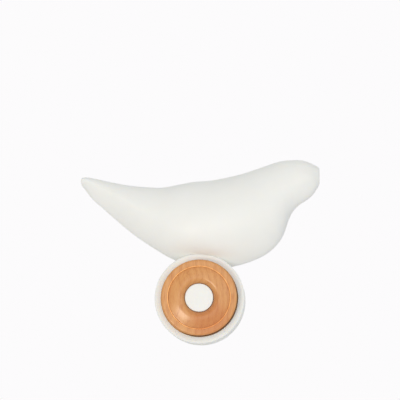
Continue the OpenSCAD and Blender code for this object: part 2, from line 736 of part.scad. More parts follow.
// ---------- batteries ----------
module battery_tray() {
    x0 = door_x - tray_length / 2;
    z0 = door_z - tray_height / 2;
    color("#2c2c2f") difference() {
        translate([x0, tray_back, z0]) cube([tray_length, tray_deep, tray_height]);
        translate([x0 + tray_wall, tray_back + tray_wall, z0 + tray_wall])
            cube([tray_in, tray_deep, tray_height - 2 * tray_wall]);
        for (p = TRAY_POSTS) bar(p[0], p[1], tray_screw_r + loose, tray_back - 1, tray_back + 4);
        for (i = [1, cell_count])
            translate([x0 - 1, cell_y - 0.3, cell_z(i) - 2]) cube([tray_wall + 2, 0.6, 4]);
    }
}
module tray_screws() {
    color("silver") for (p = TRAY_POSTS)
        screw(p[0], p[1], tray_back + tray_wall, tray_screw_r,
              tray_back + tray_wall - tray_screw_end, 2.3, 1.2);
}
// Cell i lies along X with its nub towards the head on odd cells and towards the tail on even ones.
module cell(i) {
    nub = 1;
    color("#5b7f8e") translate([door_x, cell_y, cell_z(i)]) rotate([0, i % 2 == 1 ? 90 : -90, 0])
        translate([0, 0, -cell_length / 2]) {
            cylinder(r = cell_r, h = cell_length - nub);
            cylinder(r = 2.7, h = cell_length);
        }
}
// A bowed strip of spring steel at each end of each cell, on a flat plate against the tray's wall.
module contact(i, s) {
    reach = (tray_in - cell_length) / 2;
    wall_x = door_x + s * tray_in / 2;
    translate([wall_x, cell_y, cell_z(i)]) mirror([s > 0 ? 1 : 0, 0, 0]) {
        translate([0, -5, -5]) cube([0.5, 10, 10]);
        rotate([90, 0, 0]) linear_extrude(4, center = true) polygon(concat(
            [for (a = [0:18:180]) [0.25 + (reach - 0.3) * sin(a), -4.5 * cos(a)]],
            [for (a = [162:-18:18]) [-0.15 + (reach - 0.3) * sin(a), -4.1 * cos(a)]]));
    }
}
module battery_contacts() {
    x0 = door_x - tray_in / 2;
    color("silver") {
        for (i = [1:cell_count], s = [-1, 1]) contact(i, s);
        for (i = [1, cell_count])
            translate([x0 - tray_wall - 3, cell_y - 0.25, cell_z(i) - 1.75])
                cube([tray_wall + 3.2, 0.5, 3.5]);
    }
}

// ---------- switch ----------
module switch_body() {
    back = switch_floor - switch_deep;
    color("#1e1e20") difference() {
        union() {
            bar(switch_x, switch_z, switch_r, back, switch_floor);
            bar(switch_x, switch_z, switch_r + 1.8, switch_floor, switch_floor + 1.6);
        }
        translate([switch_x - rocker_w / 2 - loose, back + 2, switch_z - rocker_l / 2 - 0.9])
            cube([rocker_w + 2 * loose, switch_deep, rocker_l + 1.8]);
        translate([switch_x - switch_r / 2 - 2, switch_floor - 2, switch_z]) rotate([0, 90, 0])
            cylinder(r = 1 + running, h = switch_r + 4);
        for (s = [-1, 1])
            translate([switch_x - 1.5 - pilot_gap, back - 1, switch_z + 4 * s - 0.4 - pilot_gap])
            cube([3 + 2 * pilot_gap, 4, 0.8 + 2 * pilot_gap]);
    }
}
// The rocker stands tipped towards off, and turns on two stub pins.
module switch_rocker() {
    color("#b3261e") translate([switch_x, switch_floor - 2, switch_z]) rotate([-rocker_tilt, 0, 0]) {
        rotate([90, 0, 90]) translate([0, 0, -rocker_w / 2]) linear_extrude(rocker_w)
            polygon([[-3, -2.5], [-3, 2.5], [1.5, rocker_l / 2 - 0.4], [4.6, rocker_l / 2],
                     [5.2, rocker_l / 2 - 0.5], [3.8, 0], [5.2, -rocker_l / 2 + 0.5],
                     [4.6, -rocker_l / 2], [1.5, -rocker_l / 2 + 0.4]]);
        translate([-rocker_w / 2 - 1.6, 0, 0]) rotate([0, 90, 0]) cylinder(r = 1, h = rocker_w + 3.2);
    }
}
module switch_terminals() {
    back = switch_floor - switch_deep;
    color("#c9a24b") for (s = [-1, 1])
        translate([switch_x - 1.5, back - 5, switch_z + 4 * s - 0.4]) cube([3, 7, 0.8]);
}

// ---------- leads ----------
lead_r = 0.9;
// Rounded route through hand-placed points, a ring of 8 sides every few millimetres.
function route(points, step) = [for (t = [0:step:len(points) - 1]) along(points, t)];
module lead(points) {
    path = route(points, 0.25);
    n = len(path);
    rings = [for (i = [0:n - 1])
        let (d = path[min(i + 1, n - 1)] - path[max(i - 1, 0)], t = d / norm(d),
             s = cross(t, [0.31, 0.83, 0.46]), u = s / norm(s), v = cross(t, u))
        [for (a = [0:45:315]) path[i] + lead_r * (cos(a) * u + sin(a) * v)]];
    polyhedron(points = [for (r = rings, p = r) p], faces = skin_faces(n, 8));
}
tab_x = door_x - tray_in / 2 - tray_wall - 3;
terminal_mid = plate_back + motor_length + 2 + terminal_out / 2;
switch_tail = switch_floor - switch_deep - 5;
module battery_lead() {
    color("#b02a22") lead([
        [tab_x - 1, cell_y, cell_z(cell_count)], [tab_x - 5, cell_y - 1, cell_z(cell_count) - 1],
        [switch_x + 12, switch_tail, switch_z + 10], [switch_x + 4, switch_tail - 6, switch_z + 5],
        [switch_x, switch_tail - 4, switch_z + 4], [switch_x, switch_tail - 1, switch_z + 4]]);
}
module switch_lead() {
    color("#b02a22") lead([
        [switch_x, switch_tail - 1, switch_z - 4], [switch_x, switch_tail - 5, switch_z - 5],
        [switch_x + 3, switch_tail - 6, switch_z - 14], [switch_x + 9, 8, motor_z + 40],
        [-18, 13, motor_z + 26], [-9, terminal_mid, motor_z + 15], [-6, terminal_mid, motor_z + 7],
        [-6, terminal_mid, motor_z + 1.6]]);
}
module motor_lead() {
    color("#232325") lead([
        [tab_x - 1, cell_y, cell_z(1)], [tab_x - 4, cell_y - 1, cell_z(1) - 3],
        [tab_x - 2, cell_y, motor_z + 26], [-6, 20, motor_z + 21], [4, terminal_mid, motor_z + 15],
        [6, terminal_mid, motor_z + 7], [6, terminal_mid, motor_z + 1.6]]);
}

right_shell();
left_shell();
right_pod();
left_pod();
shell_screws();
chassis_plate();
chassis_screws();
bush(FRONT);  // front_bush
bush(REAR);  // rear_bush
seal(FRONT);  // front_seal
seal(REAR);  // rear_seal
stake_socket();
motor_can();
motor_magnets();
motor_end_cap();
motor_terminals();
motor_screws();
motor_shaft();
motor_armature();
motor_pinion();
drive_shaft();
output_gear();
gear_pin();
shaft_clips();
hub(FRONT);  // front_hub
hub(REAR);  // rear_hub
wooden_ring(FRONT);  // front_ring
wooden_ring(REAR);  // rear_ring
ring_screws(FRONT);  // front_ring_screws
ring_screws(REAR);  // rear_ring_screws
hub_screw(FRONT);  // front_hub_screw
hub_screw(REAR);  // rear_hub_screw
hub_cap(FRONT);  // front_hub_cap
hub_cap(REAR);  // rear_hub_cap
battery_tray();
battery_contacts();
tray_screws();
for (i = [1:cell_count]) cell(i);
battery_door();
door_hinge_pin();
switch_body();
switch_rocker();
switch_terminals();
battery_lead();
switch_lead();
motor_lead();
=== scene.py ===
"""Looks of a motion decoy: a moulded white bird on a round drive pod that turns a wooden ring."""

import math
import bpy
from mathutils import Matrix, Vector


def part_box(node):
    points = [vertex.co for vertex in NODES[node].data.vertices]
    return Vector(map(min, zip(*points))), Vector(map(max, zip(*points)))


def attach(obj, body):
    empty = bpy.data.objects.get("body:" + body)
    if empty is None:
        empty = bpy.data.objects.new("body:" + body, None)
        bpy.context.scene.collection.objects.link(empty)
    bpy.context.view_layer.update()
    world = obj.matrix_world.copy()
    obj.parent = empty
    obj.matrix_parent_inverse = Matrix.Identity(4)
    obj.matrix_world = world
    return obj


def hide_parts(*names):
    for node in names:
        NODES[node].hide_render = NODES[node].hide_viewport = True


bl_info = {
    "name": "Motion decoy",
    "version": (1, 0, 0),
    "blender": (4, 5, 0),
    "location": "View3D > Sidebar > Decoy",
    "description": "Builds the smooth shells, the turned rings and the finishes of a motion decoy",
    "category": "Object",
}

import bmesh
import bpy
from mathutils import Vector

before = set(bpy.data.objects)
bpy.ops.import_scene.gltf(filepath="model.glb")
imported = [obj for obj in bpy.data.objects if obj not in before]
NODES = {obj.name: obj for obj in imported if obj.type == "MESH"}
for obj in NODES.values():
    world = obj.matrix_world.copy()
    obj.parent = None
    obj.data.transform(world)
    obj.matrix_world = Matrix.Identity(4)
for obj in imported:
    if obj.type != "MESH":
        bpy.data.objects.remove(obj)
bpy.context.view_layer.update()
MM = 0.001

# ---------------------------------------------------------------- places taken from the frame


def middle(node):
    """Centre of a node's box, in millimetres."""
    lo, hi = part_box(node)
    return (Vector(lo) + Vector(hi)) / 2 / MM


def reach(node):
    """Size of a node's box, in millimetres."""
    lo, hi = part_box(node)
    return (Vector(hi) - Vector(lo)) / MM


POD_R = reach("right_pod").z / 2
POD_FACE = -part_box("right_pod")[0][1] / MM
AXIS_Z = POD_R
RING_R = reach("front_ring").x / 2
RING_GAP = -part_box("front_ring")[1][1] / MM - POD_FACE
RING_FRONT = -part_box("front_ring")[0][1] / MM - POD_FACE
HUB_R = reach("front_hub_cap").x / 2
CAP_FACE = -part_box("front_hub_cap")[0][1] / MM - POD_FACE
FLANGE_R = reach("front_hub").x / 2
PIN = middle("door_hinge_pin")
HINGE_X = middle("battery_door").x
SWITCH = middle("switch_body")
SWITCH_RIM = 1.6
SWITCH_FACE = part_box("switch_body")[1][1] / MM - SWITCH_RIM
BODY_LENGTH = reach("right_shell").x
HALF_WIDTH = -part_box("right_shell")[0][1] / MM

# Sizes of the casing that no box gives, in millimetres.
POD_SINK = 17.5  # how far the pod reaches up into the breast
BREAST_Z = 2 * POD_R - POD_SINK
HEIGHT_UNIT = (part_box("right_shell")[1][2] / MM - BREAST_Z) / 100
WALL = 2.4
CAP_BACK = CAP_FACE - 2.5
BUSH_R, BUSH_LENGTH, BOSS_R = 5.05, 8, 9.0
EAR_X, EAR_W, KNUCKLE_R = 12, 8, 2.4
HINGE_ARM = 8  # how far the ears' feet and the door's arm reach from the pin
EAR_BORE_R, BARREL_BORE_R = 1.0, 1.03
DOOR_GAP, DOOR_CORNER, DOOR_BELOW_PIN = 0.4, 5, 3
DOOR_DEEP = 5  # where the door's block starts, left of the seam
SWITCH_CUP_R, SWITCH_HOLE_R = 13, 10
POST_R, HEAD_R, SHANK_R, PILOT_R = 4, 3.6, 1.7, 1.55
HEAD_SEAT, PILOT_DEPTH = 8, 12  # both measured from the seam
POD_POST_END, POD_RIB_END = 26.5, 26
RIB_FEET, RIB_THICK = (8, 15.2), 3.8
SOCKET_R, SOCKET_TOP = 9.2, 31
MOUTH_X = reach("motor_can").x / 2 + 2.5
MOUTH_Y = POD_FACE - WALL - 3
POD_SCREW_R = 40
POD_SCREWS = [(POD_SCREW_R * math.cos(a), AXIS_Z + POD_SCREW_R * math.sin(a))
              for a in (math.radians(215), math.radians(325))]
RING_EDGE = 2.2  # rounding of the ring's outer edge
LIP_DROP = 1.6  # how far the flat band lies behind the ring's crest
BEAD_SLOT, SIDE_SLOT = 1, 2
FAR = 200  # past every face

# Lines of the bird from tail to face. Each runs from the back to the belly and holds: top x, top z,
# bottom x, bottom z, half width, height of the widest point, fullness of the lower half. x is in
# percent of the length, z in percent of the height, the half width in percent of its largest value.
LINES = [
    [-50.2, 84.6, -50.2, 78.5, 10, 0.25, 1.25],
    [-47.8, 85.1, -48.6, 74.1, 17, 0.26, 1.30],
    [-43.6, 83.6, -45.3, 65.0, 24, 0.30, 1.35],
    [-37.7, 80.7, -40.2, 54.9, 32, 0.36, 1.40],
    [-31.0, 77.8, -34.4, 43.7, 42, 0.42, 1.40],
    [-23.5, 76.0, -27.7, 31.7, 55, 0.48, 1.30],
    [-16.0, 75.3, -20.2, 20.4, 70, 0.50, 1.15],
    [-9.3, 77.8, -12.2, 10.0, 84, 0.50, 1.00],
    [-2.6, 80.4, -3.4, 2.7, 94, 0.50, 1.05],
    [4.1, 81.5, 5.8, 0.0, 99, 0.50, 1.08],
    [10.8, 84.0, 15.0, 3.1, 100, 0.50, 1.08],
    [17.5, 87.5, 22.5, 8.3, 96, 0.50, 1.05],
    [23.3, 91.6, 27.9, 14.4, 88, 0.50, 1.00],
    [28.4, 95.5, 32.1, 22.7, 78, 0.50, 0.97],
    [32.1, 98.2, 34.8, 32.0, 69, 0.50, 1.00],
    [35.5, 99.6, 36.7, 44.0, 61, 0.50, 1.00],
    [38.8, 100.0, 38.6, 52.6, 56, 0.50, 1.00],
    [41.7, 99.9, 41.3, 58.8, 52, 0.50, 1.00],
    [44.2, 98.8, 44.2, 62.9, 46, 0.50, 1.00],
    [47.2, 96.0, 47.2, 68.6, 36, 0.50, 1.00],
    [49.8, 93.1, 49.8, 77.4, 20, 0.50, 1.00],
]
LAST = len(LINES) - 1
# Seam screws of the shells: place along the lines, part of the way down.
SEAM = [(4, 0.42), (5.8, 0.42), (12, 0.35), (12.6, 0.72), (17, 0.5)]

# ---------------------------------------------------------------- mesh tools


def keep_mesh(name, bm, sharp=32):
    """Turns a bmesh in millimetres into an object in metres, smooth up to the sharp angle."""
    bmesh.ops.remove_doubles(bm, verts=bm.verts, dist=0.0005)
    bmesh.ops.recalc_face_normals(bm, faces=bm.faces)
    bmesh.ops.scale(bm, vec=(MM, MM, MM), verts=bm.verts)
    mesh = bpy.data.meshes.new(name)
    bm.to_mesh(mesh)
    bm.free()
    obj = bpy.data.objects.new(name, mesh)
    bpy.context.scene.collection.objects.link(obj)
    soften(obj, sharp)
    return obj


def soften(obj, sharp):
    """Smooth shading, with edges sharper than the angle kept crisp."""
    obj.data.shade_smooth()
    obj.data.set_sharp_from_angle(angle=math.radians(sharp))


def skin(bm, rings, closed=True, caps=True):
    """Joins rings of equal length with quads, and caps the two ends."""
    rows = [[bm.verts.new(p) for p in ring] for ring in rings]
    count = len(rows[0])
    for one, two in zip(rows, rows[1:]):
        for j in range(count if closed else count - 1):
            k = (j + 1) % count
            bm.faces.new((one[j], one[k], two[k], two[j]))
    if caps:
        bm.faces.new(rows[0][::-1])
        bm.faces.new(rows[-1])


def lathe(name, profile, side, steps=160, sharp=32):
    """Turns a closed outline of (radius, distance outwards from the pod's face) about the drive axis."""
    bm = bmesh.new()
    rings = []
    for i in range(steps):
        a = math.tau * i / steps
        rings.append([(r * math.cos(a), side * (POD_FACE + h), AXIS_Z + r * math.sin(a))
                      for r, h in profile])
    rings.append(rings[0])
    skin(bm, rings, closed=True, caps=False)
    return keep_mesh(name, bm, sharp)


def rod(name, start, end, radius, steps=48):
    """A closed round bar between two points."""
    bm = bmesh.new()
    start, end = Vector(start), Vector(end)
    turn = (end - start).to_track_quat("Z", "Y")
    circle = [Vector((radius * math.cos(math.tau * i / steps), radius * math.sin(math.tau * i / steps), 0))
              for i in range(steps)]
    skin(bm, [[turn @ p + at for p in circle] for at in (start, end)])
    return keep_mesh(name, bm)


def slab(name, low, high, axis_corner=0.0, steps=8):
    """A block between two corners, its four corners along Y rounded."""
    bm = bmesh.new()
    (x0, y0, z0), (x1, y1, z1) = low, high
    r = max(axis_corner, 0.001)
    outline = []
    corners = (x1 - r, z1 - r, 0), (x0 + r, z1 - r, 90), (x0 + r, z0 + r, 180), (x1 - r, z0 + r, 270)
    for cx, cz, first in corners:
        for i in range(steps + 1 if axis_corner else 1):
            a = math.radians(first + (90 * i / steps if axis_corner else 45))
            outline.append((cx + r * math.cos(a), cz + r * math.sin(a)))
    skin(bm, [[(x, y, z) for x, z in outline] for y in (y0, y1)])
    return keep_mesh(name, bm)


def carve(obj, tools, operation="DIFFERENCE", sharp=32):
    """Cuts, joins or trims obj with each tool in turn, and removes the tools. Fails if nothing is left."""
    for tool in tools:
        step = obj.modifiers.new("carve", "BOOLEAN")
        step.operation, step.solver, step.object = operation, "EXACT", tool
        graph = bpy.context.evaluated_depsgraph_get()
        mesh = bpy.data.meshes.new_from_object(obj.evaluated_get(graph))
        obj.modifiers.clear()
        spare, obj.data = obj.data, mesh
        bpy.data.meshes.remove(spare)
        discard(tool)
        if not mesh.polygons:
            raise RuntimeError(f"{obj.name}: nothing is left of it after {operation.lower()}")
    soften(obj, sharp)
    return obj


def discard(obj):
    """Removes an object and its mesh."""
    mesh = obj.data
    bpy.data.objects.remove(obj)
    bpy.data.meshes.remove(mesh)


def arc(cx, cy, r, start, end, count):
    """Points of an arc in degrees, both ends included."""
    angles = [math.radians(start + (end - start) * i / count) for i in range(count + 1)]
    return [(cx + r * math.cos(a), cy + r * math.sin(a)) for a in angles]


# ---------------------------------------------------------------- the bird's lines


def along(t):
    """One line of the bird at place t: its top and bottom, half width, widest height and fullness."""
    i = min(int(t), LAST - 1)
    u = t - i
    a, b, c, d = (LINES[min(max(k, 0), LAST)] for k in (i - 1, i, i + 1, i + 2))
    v = [0.5 * (2 * q + (r - p) * u + (2 * p - 5 * q + 4 * r - s) * u * u + (3 * q - p - 3 * r + s) * u ** 3)
         for p, q, r, s in zip(a, b, c, d)]
    unit = BODY_LENGTH / 100
    top = Vector((v[0] * unit, 0, BREAST_Z + v[1] * HEIGHT_UNIT))
    low = Vector((v[2] * unit, 0, BREAST_Z + v[3] * HEIGHT_UNIT))
    return top, low, v[4] * HALF_WIDTH / 100, v[5], v[6]


def mid_point(t, s):
    """A point in the seam, part s of the way down the line at place t."""
    top, low = along(t)[:2]
    return top + s * (low - top)


def ring_at(t, inset, side_steps):
    """One closed ring of the bird, shrunk by inset all round."""
    top, low, wide, widest, full = along(t)
    down = (low - top).normalized()
    tall = (low - top).length - 2 * inset
    start = top + down * inset
    wide = max(wide - inset, 0.6)
    upper = max(1, 0.4 + 0.6 * full)
    half = []
    for i in range(side_steps + 1):
        a = math.radians(90 * i / side_steps)
        level = math.cos(a) ** upper if i < side_steps else 0
        half.append((widest * (1 - level), wide * math.sin(a) ** upper))
    for i in range(1, side_steps + 1):
        a = math.radians(90 * i / side_steps)
        half.append((widest + (1 - widest) * math.sin(a) ** full,
                     0 if i == side_steps else wide * math.cos(a) ** full))
    ring = [start + down * tall * s + Vector((0, w, 0)) for s, w in half]
    return ring + [start + down * tall * s - Vector((0, w, 0)) for s, w in half[-2:0:-1]]


def place_inside(end, depth, inwards, first, last):
    """The place whose top lies the given depth inside one end of the bird."""
    t = end
    for _ in range(24):
        gap = abs(along(t)[0].x - along(end)[0].x)
        t += (depth - gap) / (BODY_LENGTH / LAST) * inwards
        t = min(max(t, first), last)
    return t


def bird(name, inset=0.0, first=0.0, last=LAST, rounding=0.0, side_steps=22, steps=6, round_steps=6):
    """The bird's closed form between two places. With a rounding, its two blunt ends are rounded over."""
    places = [first + i / steps for i in range(int(round((last - first) * steps)) + 1)]
    rings = []
    ends = along(first)[0].x, along(last)[0].x
    for t in places:
        x = along(t)[0].x
        if rounding and min(x - ends[0], ends[1] - x) < rounding:
            continue
        rings.append(ring_at(t, inset, side_steps))
    if rounding:
        for end, inwards in ((first, 1), (last, -1)):
            extra = []
            for i in range(round_steps + 1):
                a = math.radians(90 * i / round_steps)
                t = place_inside(end, rounding * (1 - math.sin(a)), inwards, first, last)
                extra.append(ring_at(t, rounding * (1 - math.cos(a)), side_steps))
            rings = extra[::-1] + rings if inwards > 0 else rings + extra
    bm = bmesh.new()
    skin(bm, rings)
    return keep_mesh(name, bm, sharp=60)


# ---------------------------------------------------------------- material tools


def linear(hex_colour):
    """sRGB hex to linear."""
    parts = [int(hex_colour[i:i + 2], 16) / 255 for i in (1, 3, 5)]
    return [c / 12.92 if c <= 0.04045 else ((c + 0.055) / 1.055) ** 2.4 for c in parts] + [1.0]


def add(tree, kind, place, settings=None, values=None, links=None):
    """Adds one node with its settings, socket values and incoming links."""
    node = tree.nodes.new(kind)
    node.location = (place[0] * 200, place[1] * 200)
    for key, value in (settings or {}).items():
        setattr(node, key, value)
    for key, value in (values or {}).items():
        node.inputs[key].default_value = value
    for key, source in (links or {}).items():
        tree.links.new(source, node.inputs[key])
    return node


def ramp_stops(node, stops):
    """Sets a colour ramp's stops, each a place and a colour."""
    ramp = node.color_ramp
    while len(ramp.elements) > 2:
        ramp.elements.remove(ramp.elements[-1])
    for i, (place, colour) in enumerate(stops):
        stop = ramp.elements[i] if i < 2 else ramp.elements.new(place)
        stop.position, stop.color = place, colour


def start(name):
    """A new material with its shader and the piece's own coordinates."""
    material = bpy.data.materials.new(name)
    material.use_nodes = True
    tree = material.node_tree
    tree.nodes.clear()
    out = add(tree, "ShaderNodeOutputMaterial", (6, 0))
    shader = add(tree, "ShaderNodeBsdfPrincipled", (5, 0))
    tree.links.new(shader.outputs[0], out.inputs[0])
    coords = add(tree, "ShaderNodeTexCoord", (-4, 0)).outputs["Object"]
    return material, tree, shader, coords


def set_values(shader, **values):
    """Sets sockets of a shader by name, with underscores for spaces."""
    for key, value in values.items():
        shader.inputs[key.replace("_", " ")].default_value = value


def grained(name, light, dark, grain_mm, roughness, spread=0.08, bump=0.15, relief_mm=0.05, metallic=0.0,
            stretch=(1, 1, 1), **extra):
    """A material with mottled colour and roughness and a fine relief, all from one grain size."""
    material, tree, shader, coords = start(name)
    place = add(tree, "ShaderNodeMapping", (-3, 0), values={"Scale": stretch}, links={"Vector": coords})
    fine = add(tree, "ShaderNodeTexNoise", (-2, -1), values={"Scale": 1 / (grain_mm * MM), "Detail": 4.0},
               links={"Vector": place.outputs[0]})
    broad = add(tree, "ShaderNodeTexNoise", (-2, 1), values={"Scale": 0.06 / (grain_mm * MM), "Detail": 3.0},
                links={"Vector": place.outputs[0]})
    mix = add(tree, "ShaderNodeMath", (-1, 0), {"operation": "MULTIPLY_ADD"}, {1: 0.45, 2: 0.0},
              {0: fine.outputs[0]})
    both = add(tree, "ShaderNodeMath", (0, 0), {"operation": "MULTIPLY_ADD"}, {1: 0.55},
               {0: broad.outputs[0], 2: mix.outputs[0]})
    colour = add(tree, "ShaderNodeValToRGB", (1, 1), links={0: both.outputs[0]})
    ramp_stops(colour, [(0.36, linear(dark)), (0.64, linear(light))])
    rough = add(tree, "ShaderNodeMapRange", (1, -1),
                values={"From Min": 0.35, "From Max": 0.65, "To Min": roughness - spread,
                        "To Max": roughness + spread}, links={0: both.outputs[0]})
    lift = add(tree, "ShaderNodeBump", (3, -2), values={"Strength": bump, "Distance": relief_mm * MM},
               links={"Height": fine.outputs[0]})
    tree.links.new(colour.outputs[0], shader.inputs["Base Color"])
    tree.links.new(rough.outputs[0], shader.inputs["Roughness"])
    tree.links.new(lift.outputs[0], shader.inputs["Normal"])
    set_values(shader, Metallic=metallic, **extra)
    return material


def moulded_asa(settings):
    """White weatherproof ASA, injection moulded in a lightly blasted tool: warm white, a soft sheen,
    a little light passing through the wall, and a grain of about a third of a millimetre."""
    material, tree, shader, coords = start("ASA, moulded white")
    tone = add(tree, "ShaderNodeTexNoise", (-2, 2), values={"Scale": 22.0, "Detail": 3.0},
               links={"Vector": coords})
    colour = add(tree, "ShaderNodeValToRGB", (0, 2), links={0: tone.outputs[0]})
    ramp_stops(colour, [(0.3, linear(settings.shade)), (0.7, linear(settings.tone))])
    # Sinks and flow marks from moulding show as slow changes of sheen, about 20 mm across.
    flow = add(tree, "ShaderNodeTexNoise", (-2, 0), values={"Scale": 50.0, "Detail": 2.0, "Distortion": 0.6},
               links={"Vector": coords})
    sheen = add(tree, "ShaderNodeMapRange", (0, 0),
                values={"From Min": 0.3, "From Max": 0.7, "To Min": settings.roughness - 0.05,
                        "To Max": settings.roughness + 0.06}, links={0: flow.outputs[0]})
    grain = add(tree, "ShaderNodeTexNoise", (-2, -2), values={"Scale": 1 / (0.35 * MM), "Detail": 3.0},
                links={"Vector": coords})
    lift = add(tree, "ShaderNodeBump", (1, -2), values={"Strength": 0.12, "Distance": 0.04 * MM},
               links={"Height": grain.outputs[0]})
    waves = add(tree, "ShaderNodeBump", (2, -2), values={"Strength": 0.05, "Distance": 1.2 * MM},
                links={"Height": flow.outputs[0], "Normal": lift.outputs[0]})
    tree.links.new(colour.outputs[0], shader.inputs["Base Color"])
    tree.links.new(sheen.outputs[0], shader.inputs["Roughness"])
    tree.links.new(waves.outputs[0], shader.inputs["Normal"])
    set_values(shader, IOR=1.52, Subsurface_Weight=0.25, Subsurface_Scale=0.004)
    shader.inputs["Subsurface Radius"].default_value = (1.0, 0.85, 0.65)
    return material


def oiled_cherry(settings, name="Cherry, turned and oiled", value=0.95, side_shade=None):
    """Cherry, turned and oiled: light orange-brown, upright growth lines 4 to 6 mm apart, faint fine
    pores, redder heartwood low on one side, and the soft gloss of oil over a sanded face, with painted
    shade in the hollow round the hub. The value sets its brightness, and a value above 1 is a painted
    highlight. The last argument is how dark it gets towards the lower side, a painted shade where the
    ring's side is out of the light."""
    material, tree, shader, coords = start(name)
    # Growth layers are nested round an upright axis behind the ring, bent by a slow wander.
    slow = add(tree, "ShaderNodeMapping", (-3, 2), values={"Scale": (1.0, 1.0, 0.4)},
               links={"Vector": coords})
    wander = add(tree, "ShaderNodeTexNoise", (-2, 2), values={"Scale": 14.0, "Detail": 2.0},
                 links={"Vector": slow.outputs[0]})
    bent = add(tree, "ShaderNodeVectorMath", (-1, 2), {"operation": "MULTIPLY_ADD"},
               {1: (0.016, 0.016, 0.0)}, {0: wander.outputs["Color"], 2: coords})
    flat = add(tree, "ShaderNodeMapping", (0, 2),
               values={"Location": (0.09, 0.2, 0.0), "Scale": (1.0, 1.0, 0.08)},
               links={"Vector": bent.outputs[0]})
    # One ring of the wave texture is 2 pi / 20 units long.
    layers = add(tree, "ShaderNodeTexWave", (1, 2), {"wave_type": "RINGS", "rings_direction": "Z",
                                                     "wave_profile": "SAW"},
                 {"Scale": math.tau / 20 / (settings.layer * MM), "Distortion": 2.2, "Detail": 3.0,
                  "Detail Scale": 2.0, "Detail Roughness": 0.6}, {"Vector": flat.outputs[0]})
    band = add(tree, "ShaderNodeValToRGB", (2, 2), links={0: layers.outputs["Fac"]})
    ramp_stops(band, [(0.0, linear(settings.late)), (0.14, linear(settings.middle)),
                      (0.6, linear(settings.early)), (1.0, linear(settings.middle))])
    # Redder heartwood towards the lower right, with a wandering edge.
    low = add(tree, "ShaderNodeVectorMath", (0, 0), {"operation": "DISTANCE"},
              {1: (0.022, -0.04, AXIS_Z * MM - 0.026)}, {0: bent.outputs[0]})
    heart = add(tree, "ShaderNodeMapRange", (1, 0), {"interpolation_type": "SMOOTHSTEP"},
                {"From Min": 0.012, "From Max": 0.034, "To Min": 0.6, "To Max": 0.0},
                {0: low.outputs["Value"]})
    red = add(tree, "ShaderNodeMix", (3, 1), {"data_type": "RGBA", "blend_type": "MIX"},
              {7: linear(settings.heart)}, {0: heart.outputs[0], 6: band.outputs[0]})
    # Pores: faint dashes about 0.5 mm wide and 6 mm long.
    stretch = add(tree, "ShaderNodeMapping", (-1, -1), values={"Scale": (1.0, 1.0, 0.09)},
                  links={"Vector": bent.outputs[0]})
    pores = add(tree, "ShaderNodeTexNoise", (0, -1), values={"Scale": 1 / (1.1 * MM), "Detail": 3.0},
                links={"Vector": stretch.outputs[0]})
    dashes = add(tree, "ShaderNodeMapRange", (1, -1), values={"From Min": 0.5, "From Max": 0.75},
                 links={0: pores.outputs[0]})
    grained_colour = add(tree, "ShaderNodeMix", (4, 1), {"data_type": "RGBA", "blend_type": "MULTIPLY"},
                         {7: linear(settings.pore)}, {0: dashes.outputs[0], 6: red.outputs[2]})
    # Painted shade: the wood is darkened a little in the hollow round the hub.
    hollow_shade_width, hollow_shade_value = 6, 0.86
    centre = add(tree, "ShaderNodeVectorMath", (1, -2), {"operation": "SUBTRACT"},
                 {1: (0.0, 0.0, AXIS_Z * MM)}, {0: coords})
    across_axis = add(tree, "ShaderNodeVectorMath", (2, -2), {"operation": "MULTIPLY"}, {1: (1.0, 0.0, 1.0)},
                      {0: centre.outputs[0]})
    radius = add(tree, "ShaderNodeVectorMath", (3, -2), {"operation": "LENGTH"},
                 links={0: across_axis.outputs[0]})
    hollow = add(tree, "ShaderNodeMapRange", (4, -1), {"interpolation_type": "SMOOTHSTEP"},
                 {"From Min": HUB_R * MM, "From Max": (HUB_R + hollow_shade_width) * MM,
                  "To Min": hollow_shade_value * value, "To Max": value}, {0: radius.outputs["Value"]})
    level = add(tree, "ShaderNodeHueSaturation", (4, 0),
                links={"Color": grained_colour.outputs[2], "Value": hollow.outputs[0]})
    # Painted shade: the ring's side is darkened towards the lower right, where it is out of the light.
    if side_shade is not None:
        # Distance towards the lower side; on the axis it is middle_at.
        across = add(tree, "ShaderNodeVectorMath", (2, -3), {"operation": "DOT_PRODUCT"},
                     {1: (0.7, 0.0, -0.7)}, {0: coords})
        middle_at = -0.7 * AXIS_Z * MM
        fade = add(tree, "ShaderNodeMapRange", (3, -3), {"interpolation_type": "SMOOTHSTEP"},
                   {"From Min": middle_at + 0.004, "From Max": middle_at + 0.03, "To Min": value,
                    "To Max": side_shade}, {0: across.outputs["Value"]})
        tree.links.new(fade.outputs[0], level.inputs["Value"])
    dull = 0.0 if side_shade is None else 0.6
    gloss = add(tree, "ShaderNodeMapRange", (3, -1), values={"To Min": 0.22 + dull, "To Max": 0.34 + dull},
                links={0: pores.outputs[0]})
    lift = add(tree, "ShaderNodeBump", (4, -2), values={"Strength": 0.15, "Distance": 0.05 * MM},
               links={"Height": pores.outputs[0]})
    tree.links.new(level.outputs[0], shader.inputs["Base Color"])
    tree.links.new(gloss.outputs[0], shader.inputs["Roughness"])
    tree.links.new(lift.outputs[0], shader.inputs["Normal"])
    set_values(shader, IOR=1.5, Coat_Weight=0.3 if side_shade is None else 0.0, Coat_Roughness=0.16,
               Specular_IOR_Level=0.5 if side_shade is None else 0.05)
    return material


# ---------------------------------------------------------------- settings


class ShellSettings(bpy.types.PropertyGroup):
    """Bird shells and pod halves."""

    tone: bpy.props.StringProperty(name="White", description="sRGB colour of the moulded white",
                                   default="#F6F6F1")
    shade: bpy.props.StringProperty(name="Shade", description="Slightly darker white in slow patches",
                                    default="#F3F3EE")
    roughness: bpy.props.FloatProperty(name="Roughness", description="Roughness of the moulded face",
                                       default=0.42, min=0.1, max=0.9)
    rounding: bpy.props.FloatProperty(name="End rounding", default=2.2, min=0.5, max=4.0,
                                      description="Rounding of the tail tip and the face, mm")
    rim: bpy.props.FloatProperty(name="Rim rounding", description="Rounding of the pod's edge, mm",
                                 default=3.0, min=1.0, max=5.0)


